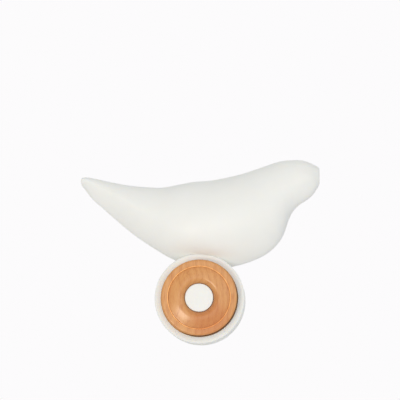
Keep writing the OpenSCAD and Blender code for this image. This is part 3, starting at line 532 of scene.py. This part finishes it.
class RingSettings(bpy.types.PropertyGroup):
    """Turned wooden rings and their hubs."""

    early: bpy.props.StringProperty(name="Early wood", description="sRGB colour of the pale layers",
                                    default="#E2A361")
    middle: bpy.props.StringProperty(name="Wood", description="sRGB colour of most of the wood",
                                     default="#DC9A58")
    late: bpy.props.StringProperty(name="Late wood", description="sRGB colour of the dark lines",
                                   default="#CE8B4D")
    heart: bpy.props.StringProperty(name="Heart", description="sRGB colour of redder patches",
                                    default="#CE7A3E")
    pore: bpy.props.StringProperty(name="Pores", description="sRGB colour that pores darken towards",
                                   default="#E6CDB4")
    layer: bpy.props.FloatProperty(name="Layer", description="Distance between growth lines, mm",
                                   default=4.6, min=1.0, max=12.0)
    lip: bpy.props.FloatProperty(name="Lip", description="Width of the flat band at the edge, mm",
                                 default=7.6, min=3.0, max=10.0)
    bead: bpy.props.FloatProperty(name="Bead", default=0.8, min=0.3, max=1.5,
                                  description="Radius of the fine bead inside the flat band, mm")


class StageSettings(bpy.types.PropertyGroup):
    """Floor, light and camera."""

    backdrop: bpy.props.StringProperty(name="Backdrop", description="sRGB colour behind the object",
                                       default="#FCFBFC")
    azimuth: bpy.props.FloatProperty(name="Azimuth", description="Camera's turn round the object, degrees",
                                     default=2.5, min=-180, max=180)
    elevation: bpy.props.FloatProperty(name="Elevation", description="Camera's height above level, degrees",
                                       default=-3.8, min=-30, max=60)
    distance: bpy.props.FloatProperty(name="Distance", description="Camera's distance from the shaft",
                                      default=2.6, unit="LENGTH", min=0.5, max=10)
    width: bpy.props.FloatProperty(name="Field", description="Width of the view at the shaft",
                                   default=0.4985, unit="LENGTH", min=0.2, max=2)
    middle: bpy.props.FloatVectorProperty(name="Middle", description="Picture's middle, from the shaft",
                                          default=(-0.0006, 0.0, 0.1251), subtype="XYZ", unit="LENGTH")
    floor_drop: bpy.props.FloatProperty(name="Floor", description="Floor's distance below the pod",
                                        default=0.42, unit="LENGTH", min=0.0, max=2)


# ---------------------------------------------------------------- pieces


def materials():
    """The white and the wood, made on the first call and shared."""
    white = bpy.data.materials.get("ASA, moulded white") or moulded_asa(bpy.context.scene.decoy_shell)
    cherry = oiled_cherry_once(bpy.context.scene.decoy_ring, "Cherry, turned and oiled")
    return white, cherry


def oiled_cherry_once(settings, name, *values):
    """A named cherry finish, made on its first call."""
    return bpy.data.materials.get(name) or oiled_cherry(settings, name, *values)


def dress(obj, material, body, slot, *nodes):
    """Gives a new piece its finish, its body and the nodes it stands for."""
    obj.data.materials.clear()
    obj.data.materials.append(material)
    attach(obj, body)
    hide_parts(*nodes)


def finish(names, material):
    """Puts a finish on nodes that keep the shape they have."""
    for name in names:
        mesh = NODES[name].data
        mesh.materials.clear()
        mesh.materials.append(material)


def y_rod(name, place, y0, y1, radius):
    """A bar across the seam."""
    return rod(name, (place.x, y0, place.z), (place.x, y1, place.z), radius)


def pin_rod(name, x0, x1, radius):
    """A bar along the hinge pin."""
    return rod(name, (x0, PIN.y, PIN.z), (x1, PIN.y, PIN.z), radius)


def screw_cuts(places, head_side):
    """Cuts for screws put in from the left: recess and hole on the heads' side, else pilot holes."""
    cuts = []
    for p in places:
        if head_side:
            cuts.append(y_rod("recess", p, HEAD_SEAT, FAR, HEAD_R))
            cuts.append(y_rod("hole", p, -2, HEAD_SEAT + 1, SHANK_R))
        else:
            cuts.append(y_rod("pilot", p, -PILOT_DEPTH, 2, PILOT_R))
    return cuts


def bird_cavity():
    """The room inside the shells, one wall in from the skin."""
    return bird("cavity", inset=WALL, first=1, last=LAST - 0.5)


def bird_shell(side, name, settings):
    """One half of the bird, hollow, with its screw posts; the left one has the switch's cup."""
    left = side > 0
    seam_places = [mid_point(t, s) for t, s in SEAM]
    shell, cavity = bird(name, rounding=settings.rounding), bird_cavity()
    y0, y1 = (-1, FAR) if left else (-FAR, 1)
    posts = [y_rod("post", p, y0, y1, POST_R) for p in seam_places]
    if left:
        posts.append(y_rod("cup", SWITCH, SWITCH_FACE - WALL, FAR, SWITCH_CUP_R + WALL))
    carve(cavity, posts)
    y0, y1 = (0, FAR) if left else (-FAR, 0)
    carve(shell, [slab("half", (-FAR, y0, -FAR), (FAR, y1, 2 * FAR))], "INTERSECT")
    carve(shell, [cavity])
    cuts = [lathe("pod_space", pod_outline(settings.rim, grow=0.1, solid=True), 1)]
    cuts += screw_cuts(seam_places, left)
    if left:
        cuts.append(y_rod("switch_cup", SWITCH, SWITCH_FACE, FAR, SWITCH_CUP_R))
        cuts.append(y_rod("switch_hole", SWITCH, 0, FAR, SWITCH_HOLE_R))
        cuts.append(door_block(0))
    return carve(shell, cuts)


def add_ears(shell):
    """Joins the two drilled ears of the hinge to the left shell."""
    for sx in (-1, 1):
        x0, x1 = HINGE_X + sx * EAR_X - EAR_W / 2, HINGE_X + sx * EAR_X + EAR_W / 2
        ear = pin_rod("ear", x0, x1, KNUCKLE_R)
        foot = slab("foot", (x0, PIN.y - HINGE_ARM, PIN.z), (x1, PIN.y, PIN.z + KNUCKLE_R))
        carve(ear, [foot], "UNION")
        carve(ear, [pin_rod("bore", x0 - EAR_W / 2, x1 + EAR_W / 2, EAR_BORE_R)])
        carve(shell, [ear], "UNION")


def door_block(gap):
    """A block through the left flank: the door's opening, or with a gap the door itself."""
    lo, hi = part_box("battery_door")
    low = lo[0] / MM - DOOR_GAP + gap, DOOR_DEEP, lo[2] / MM - DOOR_GAP + gap
    high = hi[0] / MM + DOOR_GAP - gap, FAR, PIN.z - DOOR_BELOW_PIN - gap
    return slab("door_block", low, high, DOOR_CORNER - gap)


def battery_door():
    """The door: the bird's own skin inside the opening, with the arm and barrel that hold the pin."""
    door = bird("door_panel")
    carve(door, [bird_cavity()])
    carve(door, [door_block(DOOR_GAP)], "INTERSECT")
    x0, x1 = HINGE_X - EAR_X + EAR_W / 2 + 0.2, HINGE_X + EAR_X - EAR_W / 2 - 0.2
    barrel = pin_rod("barrel", x0, x1, KNUCKLE_R)
    arm = slab("arm", (x0, PIN.y - KNUCKLE_R, PIN.z - HINGE_ARM), (x1, PIN.y - 0.4, PIN.z))
    carve(barrel, [arm], "UNION")
    carve(barrel, [pin_rod("bore", HINGE_X - FAR, HINGE_X + FAR, BARREL_BORE_R)])
    return carve(door, [barrel], "UNION")


class DECOY_OT_shells(bpy.types.Operator):
    """Lofts the two bird shells and the battery door from the bird's lines"""

    bl_idname = "decoy.shells"
    bl_label = "Bird shells and door"

    def execute(self, context):
        settings = context.scene.decoy_shell
        white, _ = materials()
        right = bird_shell(-1, "bird_shell_right", settings)
        dress(right, white, "housing", "shell_plastic", "right_shell")
        left = bird_shell(1, "bird_shell_left", settings)
        add_ears(left)
        dress(left, white, "housing", "shell_plastic", "left_shell")
        dress(battery_door(), white, "door", "shell_plastic", "battery_door")
        return {"FINISHED"}


def pod_outline(rim, grow=0.0, solid=False):
    """Outline of one hollow pod half, or, if solid, of the whole pod grown all round."""
    r, face = POD_R + grow, grow
    edge = arc(r - rim, face - rim, rim, 90, 0, 10)
    if solid:
        back = [(x, -2 * POD_FACE - h) for x, h in reversed(edge)]
        return [(0.0, face)] + edge + back + [(0.0, -2 * POD_FACE - face)]
    inner, bevel = rim - 0.6, 0.3
    return ([(BUSH_R, face - bevel), (BUSH_R + bevel, face)] + edge
            + [(r, -POD_FACE), (r - WALL, -POD_FACE)]
            + arc(r - WALL - inner, face - WALL - inner, inner, 0, 90, 6)
            + [(BOSS_R, face - WALL), (BOSS_R, -BUSH_LENGTH), (BUSH_R, -BUSH_LENGTH)])


def pod_ribs(side):
    """The ribs that grip the stake socket, trimmed to the inside of the pod."""
    ribs = [slab("rib", (-POD_R + 1, min(0, side * POD_RIB_END), z),
                 (POD_R - 1, max(0, side * POD_RIB_END), z + RIB_THICK)) for z in RIB_FEET]
    band = lathe("band", [(0.0, -1.0), (POD_R - 1, -1.0), (POD_R - 1, -POD_FACE), (0.0, -POD_FACE)], side,
                 steps=96)
    for rib in ribs:
        shape = band.copy()
        shape.data = band.data.copy()
        bpy.context.scene.collection.objects.link(shape)
        carve(rib, [shape], "INTERSECT")
    discard(band)
    return ribs


def pod_half(side, name, rim):
    """One half of the pod, with its ribs and screw posts, cut for the mouth and the socket."""
    pod, ribs = lathe(name, pod_outline(rim), side), pod_ribs(side)
    places = [Vector((x, 0, z)) for x, z in POD_SCREWS]
    y0, y1 = (0, POD_POST_END) if side > 0 else (-POD_POST_END, 0)
    posts = [y_rod("post", p, y0, y1, POST_R) for p in places]
    carve(pod, ribs + posts, "UNION")
    cuts = [slab("mouth", (-MOUTH_X, -MOUTH_Y, BREAST_Z + WALL + 2), (MOUTH_X, MOUTH_Y, FAR)),
            rod("socket_hole", (0, 0, -10), (0, 0, SOCKET_TOP), SOCKET_R)]
    return carve(pod, cuts + screw_cuts(places, side > 0))


class DECOY_OT_pods(bpy.types.Operator):
    """Turns the two halves of the drive pod and cuts their mouth, socket hole and screw recesses"""

    bl_idname = "decoy.pods"
    bl_label = "Drive pod halves"

    def execute(self, context):
        white, _ = materials()
        for side, name, node in ((-1, "pod_half_right", "right_pod"), (1, "pod_half_left", "left_pod")):
            pod = pod_half(side, name, context.scene.decoy_shell.rim)
            dress(pod, white, "housing", "shell_plastic", node)
        return {"FINISHED"}


def ring_outline(settings, lip_top, bead_r):
    """The ring's outline, from its seat on the hub's flange, round the outside and back to the hole."""
    front, back = RING_FRONT, RING_GAP
    hole, crest = HUB_R + 0.2, HUB_R + 7.8
    seat_r, seat = FLANGE_R + 0.4, back + 3.2
    groove = bead_r - settings.bead - 0.3
    dish, roll, face_steps, roll_steps = front - lip_top + 0.9, 7.0, 15, 16
    profile = [(hole, seat), (seat_r, seat), (seat_r, back)]
    # The side widens a little towards the pod.
    profile += [(RING_R - 1.5, back)] + arc(RING_R - 0.5, back + 1.2, 1.2, -90, 0, 4)
    profile += arc(RING_R - 0.5 - RING_EDGE, lip_top - RING_EDGE, RING_EDGE, 5, 85, 8)
    profile += [(RING_R - settings.lip * 0.6, lip_top)]
    profile += arc(bead_r, lip_top, settings.bead, 10, 170, 10)
    profile += [(groove + 0.25, lip_top - 0.75), (groove, lip_top - 1.0), (groove - 0.4, lip_top - 0.92)]
    # The face swells from the groove to its crest, then rolls over into the hole.
    for i in range(1, face_steps):
        u = i / face_steps
        profile.append((groove - 0.5 + u * (crest - groove + 0.5), front - dish * (1 - u) ** 1.3))
    for i in range(roll_steps + 1):
        a = math.radians(90 + 90 * i / roll_steps)
        profile.append((crest + (crest - hole) * math.cos(a), front - roll + roll * math.sin(a)))
    return profile


def paint_ring(ring, settings, lip_top, bead_r):
    """Gives the ring's bead a lighter finish, a painted highlight, and its side a darker one, a painted
    shade towards the lower right.
    """
    # Painted highlight: the bead's lighter finish stands for the light its rounded top catches.
    ring.data.materials.append(oiled_cherry_once(settings, "Cherry, bead with painted highlight", 1.35))
    # Painted shade: the side's finish is darker overall and darkest towards the lower right.
    ring.data.materials.append(oiled_cherry_once(settings, "Cherry, side with painted shade", 0.85, 0.28))
    for face in ring.data.polygons:
        spot = face.center / MM
        r, h = math.hypot(spot.x, spot.z - AXIS_Z), abs(spot.y) - POD_FACE
        if abs(r - bead_r) < 0.7 * settings.bead and h > lip_top:
            face.material_index = BEAD_SLOT
        elif r > RING_R - 0.6 and h < lip_top - 0.6 * RING_EDGE:
            face.material_index = SIDE_SLOT


class DECOY_OT_rings(bpy.types.Operator):
    """Turns the two wooden rings: lip, fine bead, swelling face and rounded hole"""

    bl_idname = "decoy.rings"
    bl_label = "Turned wooden rings"

    def execute(self, context):
        settings = context.scene.decoy_ring
        _, cherry = materials()
        lip_top = RING_FRONT - LIP_DROP
        bead_r = RING_R - settings.lip - settings.bead
        profile = ring_outline(settings, lip_top, bead_r)
        for side, name, node in ((-1, "wood_ring_right", "front_ring"), (1, "wood_ring_left", "rear_ring")):
            ring = lathe(name, profile, side, steps=220, sharp=40)
            dress(ring, cherry, "rotor", "oiled_wood", node)
            paint_ring(ring, settings, lip_top, bead_r)
        return {"FINISHED"}


class DECOY_OT_hubs(bpy.types.Operator):
    """Turns the hub caps with their softened edge"""

    bl_idname = "decoy.hubs"
    bl_label = "Hub caps"

    def execute(self, context):
        white, _ = materials()
        skirt = HUB_R - 4.2
        inside, foot = skirt - 1.6, CAP_BACK - 1.6
        profile = [(0.0, CAP_BACK), (inside, CAP_BACK), (inside, foot), (skirt, foot), (skirt, CAP_BACK),
                   (HUB_R, CAP_BACK)]
        profile += arc(HUB_R - 0.9, CAP_FACE - 1.2, 0.9, 0, 90, 8)
        # The face is domed by a fifth of a millimetre.
        profile += [(HUB_R * 0.8, CAP_FACE - 0.2), (HUB_R * 0.5, CAP_FACE - 0.08), (0.0, CAP_FACE)]
        caps = (-1, "hub_cap_right", "front_hub_cap"), (1, "hub_cap_left", "rear_hub_cap")
        for side, name, node in caps:
            cap = lathe(name, profile, side, steps=128)
            dress(cap, white, "rotor", "shell_plastic", node)
        for node in ("front_hub", "rear_hub"):
            finish([node], white)
        return {"FINISHED"}


class DECOY_OT_drive(bpy.types.Operator):
    """Finishes the motor, the gears, the shaft, the bushes and the chassis"""

    bl_idname = "decoy.drive"
    bl_label = "Drive finishes"

    def execute(self, context):
        # Ground bearing steel: bright, drawn lines round the bar.
        steel = grained("Steel, ground", "#C9CACC", "#A5A7AB", grain_mm=0.3, roughness=0.24, spread=0.06,
                        bump=0.1, relief_mm=0.01, metallic=1.0, stretch=(1, 6, 6))
        # Sintered bronze: warm brown metal, open pores of about a quarter millimetre.
        bronze = grained("Bronze, sintered", "#C39A62", "#8E6A3C", grain_mm=0.25, roughness=0.5, spread=0.1,
                         bump=0.4, relief_mm=0.05, metallic=1.0)
        # Wool felt: brown grey, soft and matt, fibres about half a millimetre apart.
        felt = grained("Felt, wool", "#8B8172", "#5E564A", grain_mm=0.5, roughness=0.95, spread=0.04,
                       bump=0.8, relief_mm=0.3, metallic=0.0, Sheen_Weight=0.4)
        # Nickel-plated drawn steel: slightly yellow, smooth, faint draw lines.
        nickel = grained("Steel, nickel plated", "#D2CFC6", "#B4B0A6", grain_mm=0.5, roughness=0.22,
                         spread=0.05, bump=0.06, relief_mm=0.01, metallic=1.0, stretch=(4, 1, 4))
        # Ferrite: near black, dull, gritty.
        ferrite = grained("Ferrite, pressed", "#3A3A3D", "#26262A", grain_mm=0.3, roughness=0.7,
                          spread=0.08, bump=0.3, relief_mm=0.04)
        # Acetal: milky white, waxy, smooth.
        acetal = grained("Acetal, moulded", "#F0ECE0", "#E2DCCB", grain_mm=0.4, roughness=0.36, spread=0.05,
                         bump=0.08, relief_mm=0.02, Subsurface_Weight=0.1, Subsurface_Scale=0.002)
        # Enamelled copper wire: reddish brown with a varnish gloss, turns about a third of a millimetre.
        copper = grained("Copper, enamelled", "#A86234", "#6E3A1C", grain_mm=0.35, roughness=0.3,
                         spread=0.08, bump=0.9, relief_mm=0.12, metallic=0.6, stretch=(1, 8, 1))
        # Turned brass: yellow, fine tool lines.
        brass = grained("Brass, turned", "#D8B56A", "#B18C43", grain_mm=0.3, roughness=0.26, spread=0.06,
                        bump=0.1, relief_mm=0.01, metallic=1.0, stretch=(1, 8, 1))
        # Blackened spring steel: dark oxide, faintly mottled, a dull shine.
        spring = grained("Spring steel, blackened", "#3A3A3F", "#232327", grain_mm=0.3, roughness=0.35,
                         spread=0.08, bump=0.1, relief_mm=0.02, metallic=0.8)
        # Glass-filled nylon: near black, faintly mottled, fine fibre grain.
        nylon = grained("Nylon, glass filled", "#39393C", "#29292C", grain_mm=0.35, roughness=0.55,
                        spread=0.1, bump=0.35, relief_mm=0.05)
        white, _ = materials()
        finish(["drive_shaft", "gear_pin", "motor_shaft"], steel)
        finish(["front_bush", "rear_bush"], bronze)
        finish(["front_seal", "rear_seal"], felt)
        finish(["motor_can", "battery_contacts"], nickel)
        finish(["motor_magnets"], ferrite)
        finish(["output_gear", "motor_end_cap"], acetal)
        finish(["motor_armature"], copper)
        finish(["motor_pinion", "motor_terminals", "switch_terminals"], brass)
        finish(["shaft_clips"], spring)
        finish(["chassis_plate"], nylon)
        finish(["stake_socket"], white)
        return {"FINISHED"}


class DECOY_OT_battery(bpy.types.Operator):
    """Finishes the battery tray, the cells, the switch and the leads"""

    bl_idname = "decoy.battery"
    bl_label = "Battery, switch and lead finishes"

    def execute(self, context):
        # Black ABS from an etched tool: dull, with a grain of about half a millimetre.
        tray = grained("ABS, textured black", "#333336", "#242427", grain_mm=0.4, roughness=0.5,
                       spread=0.08, bump=0.5, relief_mm=0.06)
        # Shrink film over a steel can: blue grey, glossy, smooth.
        film = grained("PVC film, blue grey", "#6A91A2", "#55798A", grain_mm=2.0, roughness=0.25,
                       spread=0.04, bump=0.05, relief_mm=0.02, metallic=0.2)
        # Black nylon from a polished tool: glossy.
        bezel = grained("Nylon, polished black", "#2B2B2E", "#1E1E21", grain_mm=0.5, roughness=0.28,
                        spread=0.05, bump=0.08, relief_mm=0.02)
        # Red polycarbonate, moulded: clear strong red, glossy.
        rocker = grained("Polycarbonate, red", "#C0281F", "#A51F18", grain_mm=1.0, roughness=0.22,
                         spread=0.04, bump=0.05, relief_mm=0.02)
        # PVC wire covers, extruded: soft, half glossy.
        red = grained("PVC, red", "#B5302A", "#982520", grain_mm=1.0, roughness=0.4, spread=0.06, bump=0.1,
                      relief_mm=0.02)
        black = grained("PVC, black", "#2E2E30", "#202022", grain_mm=1.0, roughness=0.4, spread=0.06,
                        bump=0.1, relief_mm=0.02)
        finish(["battery_tray"], tray)
        finish([n for n in NODES if n.startswith("cell_")], film)
        finish(["switch_body"], bezel)
        finish(["switch_rocker"], rocker)
        finish(["battery_lead", "switch_lead"], red)
        finish(["motor_lead"], black)
        return {"FINISHED"}


class DECOY_OT_fasteners(bpy.types.Operator):
    """Finishes the screws and the hinge pin"""

    bl_idname = "decoy.fasteners"
    bl_label = "Screw finishes"

    def execute(self, context):
        # Zinc-plated steel: cool silver, slightly cloudy.
        zinc = grained("Steel, zinc plated", "#CDD0D3", "#A9ADB2", grain_mm=0.6, roughness=0.32,
                       spread=0.08, bump=0.12, relief_mm=0.02, metallic=1.0)
        finish([n for n in NODES if n.endswith(("_screws", "_screw"))] + ["door_hinge_pin"], zinc)
        return {"FINISHED"}


# Each lamp: name, place from the shaft in metres, width in metres, watts and sRGB tint.
LAMPS = (
    ("key", (-0.65, -1.9, -0.42), 0.5, 7.0, "#FFF3E3"),
    ("front", (0.3, -3.0, 0.4), 2.6, 12.0, "#FEFEFF"),
    ("fill", (1.5, -1.6, 0.5), 1.2, 3.5, "#FBFAFF"),
    ("back", (0.3, 1.6, 0.8), 1.4, 2.0, "#FFFFFF"),
)
FLOOR_RADII = (1.0, 300.0, 600.0, 900.0)
SURROUND, SURROUND_STRENGTH = "#FAFBFB", 0.7
SENSOR = 36.0  # width of the camera's sensor, mm


def studio_floor(drop):
    """A round white floor that throws light back up. The backdrop is what is seen behind the object."""
    bm = bmesh.new()
    turns = [math.tau * i / 96 for i in range(96)]
    rings = [[(r * math.cos(a), r * math.sin(a), -drop / MM) for a in turns] for r in FLOOR_RADII]
    skin(bm, rings, caps=False)
    floor = keep_mesh("studio_floor", bm)
    # Matt paper: white, dull, fibres about a millimetre long.
    paper = grained("Paper, matt white", "#FBFAFA", "#F8F7F7", grain_mm=1.0, roughness=0.9, spread=0.03,
                    bump=0.05, relief_mm=0.02)
    floor.data.materials.append(paper)
    floor.visible_camera = False


def surroundings(scene, backdrop):
    """An even light from all round, with the backdrop's own colour where it is seen directly."""
    world = bpy.data.worlds.new("studio")
    scene.world = world
    world.use_nodes = True
    tree = world.node_tree
    tree.nodes.clear()
    out = add(tree, "ShaderNodeOutputWorld", (4, 0))
    seen = add(tree, "ShaderNodeBackground", (1, 1), values={0: linear(backdrop), 1: 1.0})
    shine = add(tree, "ShaderNodeBackground", (1, -1), values={0: linear(SURROUND), 1: SURROUND_STRENGTH})
    path = add(tree, "ShaderNodeLightPath", (0, 2))
    blend = add(tree, "ShaderNodeMixShader", (2, 0),
                links={0: path.outputs["Is Camera Ray"], 1: shine.outputs[0], 2: seen.outputs[0]})
    tree.links.new(blend.outputs[0], out.inputs[0])


def lamp(scene, shaft, name, place, width, power, tint):
    """A round soft lamp that faces the shaft."""
    light = bpy.data.lights.new(name, "AREA")
    light.shape, light.size, light.energy = "DISK", width, power
    light.color = linear(tint)[:3]
    obj = bpy.data.objects.new(name, light)
    scene.collection.objects.link(obj)
    obj.location = Vector(place) + shaft
    obj.rotation_euler = (-Vector(place)).to_track_quat("-Z", "Y").to_euler()


def studio_camera(scene, shaft, settings):
    """The camera, turned round the shaft and aimed at the picture's middle."""
    camera = bpy.data.objects.new("camera", bpy.data.cameras.new("camera"))
    scene.collection.objects.link(camera)
    a, e = math.radians(settings.azimuth), math.radians(settings.elevation)
    back = Vector((math.sin(a) * math.cos(e), -math.cos(a) * math.cos(e), math.sin(e)))
    camera.location = shaft + back * settings.distance
    # The picture's middle lies above the shaft, so that the whole bird is in it.
    middle_at = shaft + Vector(settings.middle)
    camera.rotation_euler = (middle_at - camera.location).to_track_quat("-Z", "Y").to_euler()
    camera.data.sensor_width = SENSOR
    camera.data.lens = SENSOR * settings.distance / settings.width
    scene.camera = camera


class DECOY_OT_stage(bpy.types.Operator):
    """Sets the floor, the soft light and the camera"""

    bl_idname = "decoy.stage"
    bl_label = "Floor, light and camera"

    def execute(self, context):
        scene, settings = context.scene, context.scene.decoy_stage
        shaft = Vector((0.0, 0.0, AXIS_Z * MM))
        scene.view_settings.view_transform = "Standard"
        studio_floor(settings.floor_drop)
        surroundings(scene, settings.backdrop)
        for values in LAMPS:
            lamp(scene, shaft, *values)
        studio_camera(scene, shaft, settings)
        return {"FINISHED"}


class DECOY_PT_panel(bpy.types.Panel):
    """The decoy's pieces and settings"""

    bl_idname = "DECOY_PT_panel"
    bl_label = "Motion decoy"
    bl_space_type = "VIEW_3D"
    bl_region_type = "UI"
    bl_category = "Decoy"

    def draw(self, context):
        layout = self.layout
        for settings in (context.scene.decoy_shell, context.scene.decoy_ring, context.scene.decoy_stage):
            box = layout.box()
            for key in settings.bl_rna.properties.keys():
                if key not in ("rna_type", "name"):
                    box.prop(settings, key)
        for operator in OPERATORS:
            layout.operator(operator.bl_idname)


OPERATORS = (DECOY_OT_shells, DECOY_OT_pods, DECOY_OT_rings, DECOY_OT_hubs, DECOY_OT_drive, DECOY_OT_battery,
             DECOY_OT_fasteners, DECOY_OT_stage)
CLASSES = (ShellSettings, RingSettings, StageSettings, *OPERATORS, DECOY_PT_panel)


def register():
    for cls in CLASSES:
        bpy.utils.register_class(cls)
    bpy.types.Scene.decoy_shell = bpy.props.PointerProperty(type=ShellSettings)
    bpy.types.Scene.decoy_ring = bpy.props.PointerProperty(type=RingSettings)
    bpy.types.Scene.decoy_stage = bpy.props.PointerProperty(type=StageSettings)


def unregister():
    del bpy.types.Scene.decoy_stage, bpy.types.Scene.decoy_ring, bpy.types.Scene.decoy_shell
    for cls in reversed(CLASSES):
        bpy.utils.unregister_class(cls)


def main():
    register()
    bpy.ops.decoy.shells()
    bpy.ops.decoy.pods()
    bpy.ops.decoy.rings()
    bpy.ops.decoy.hubs()
    bpy.ops.decoy.drive()
    bpy.ops.decoy.battery()
    bpy.ops.decoy.fasteners()
    bpy.ops.decoy.stage()


if __name__ == "__main__":
    main()
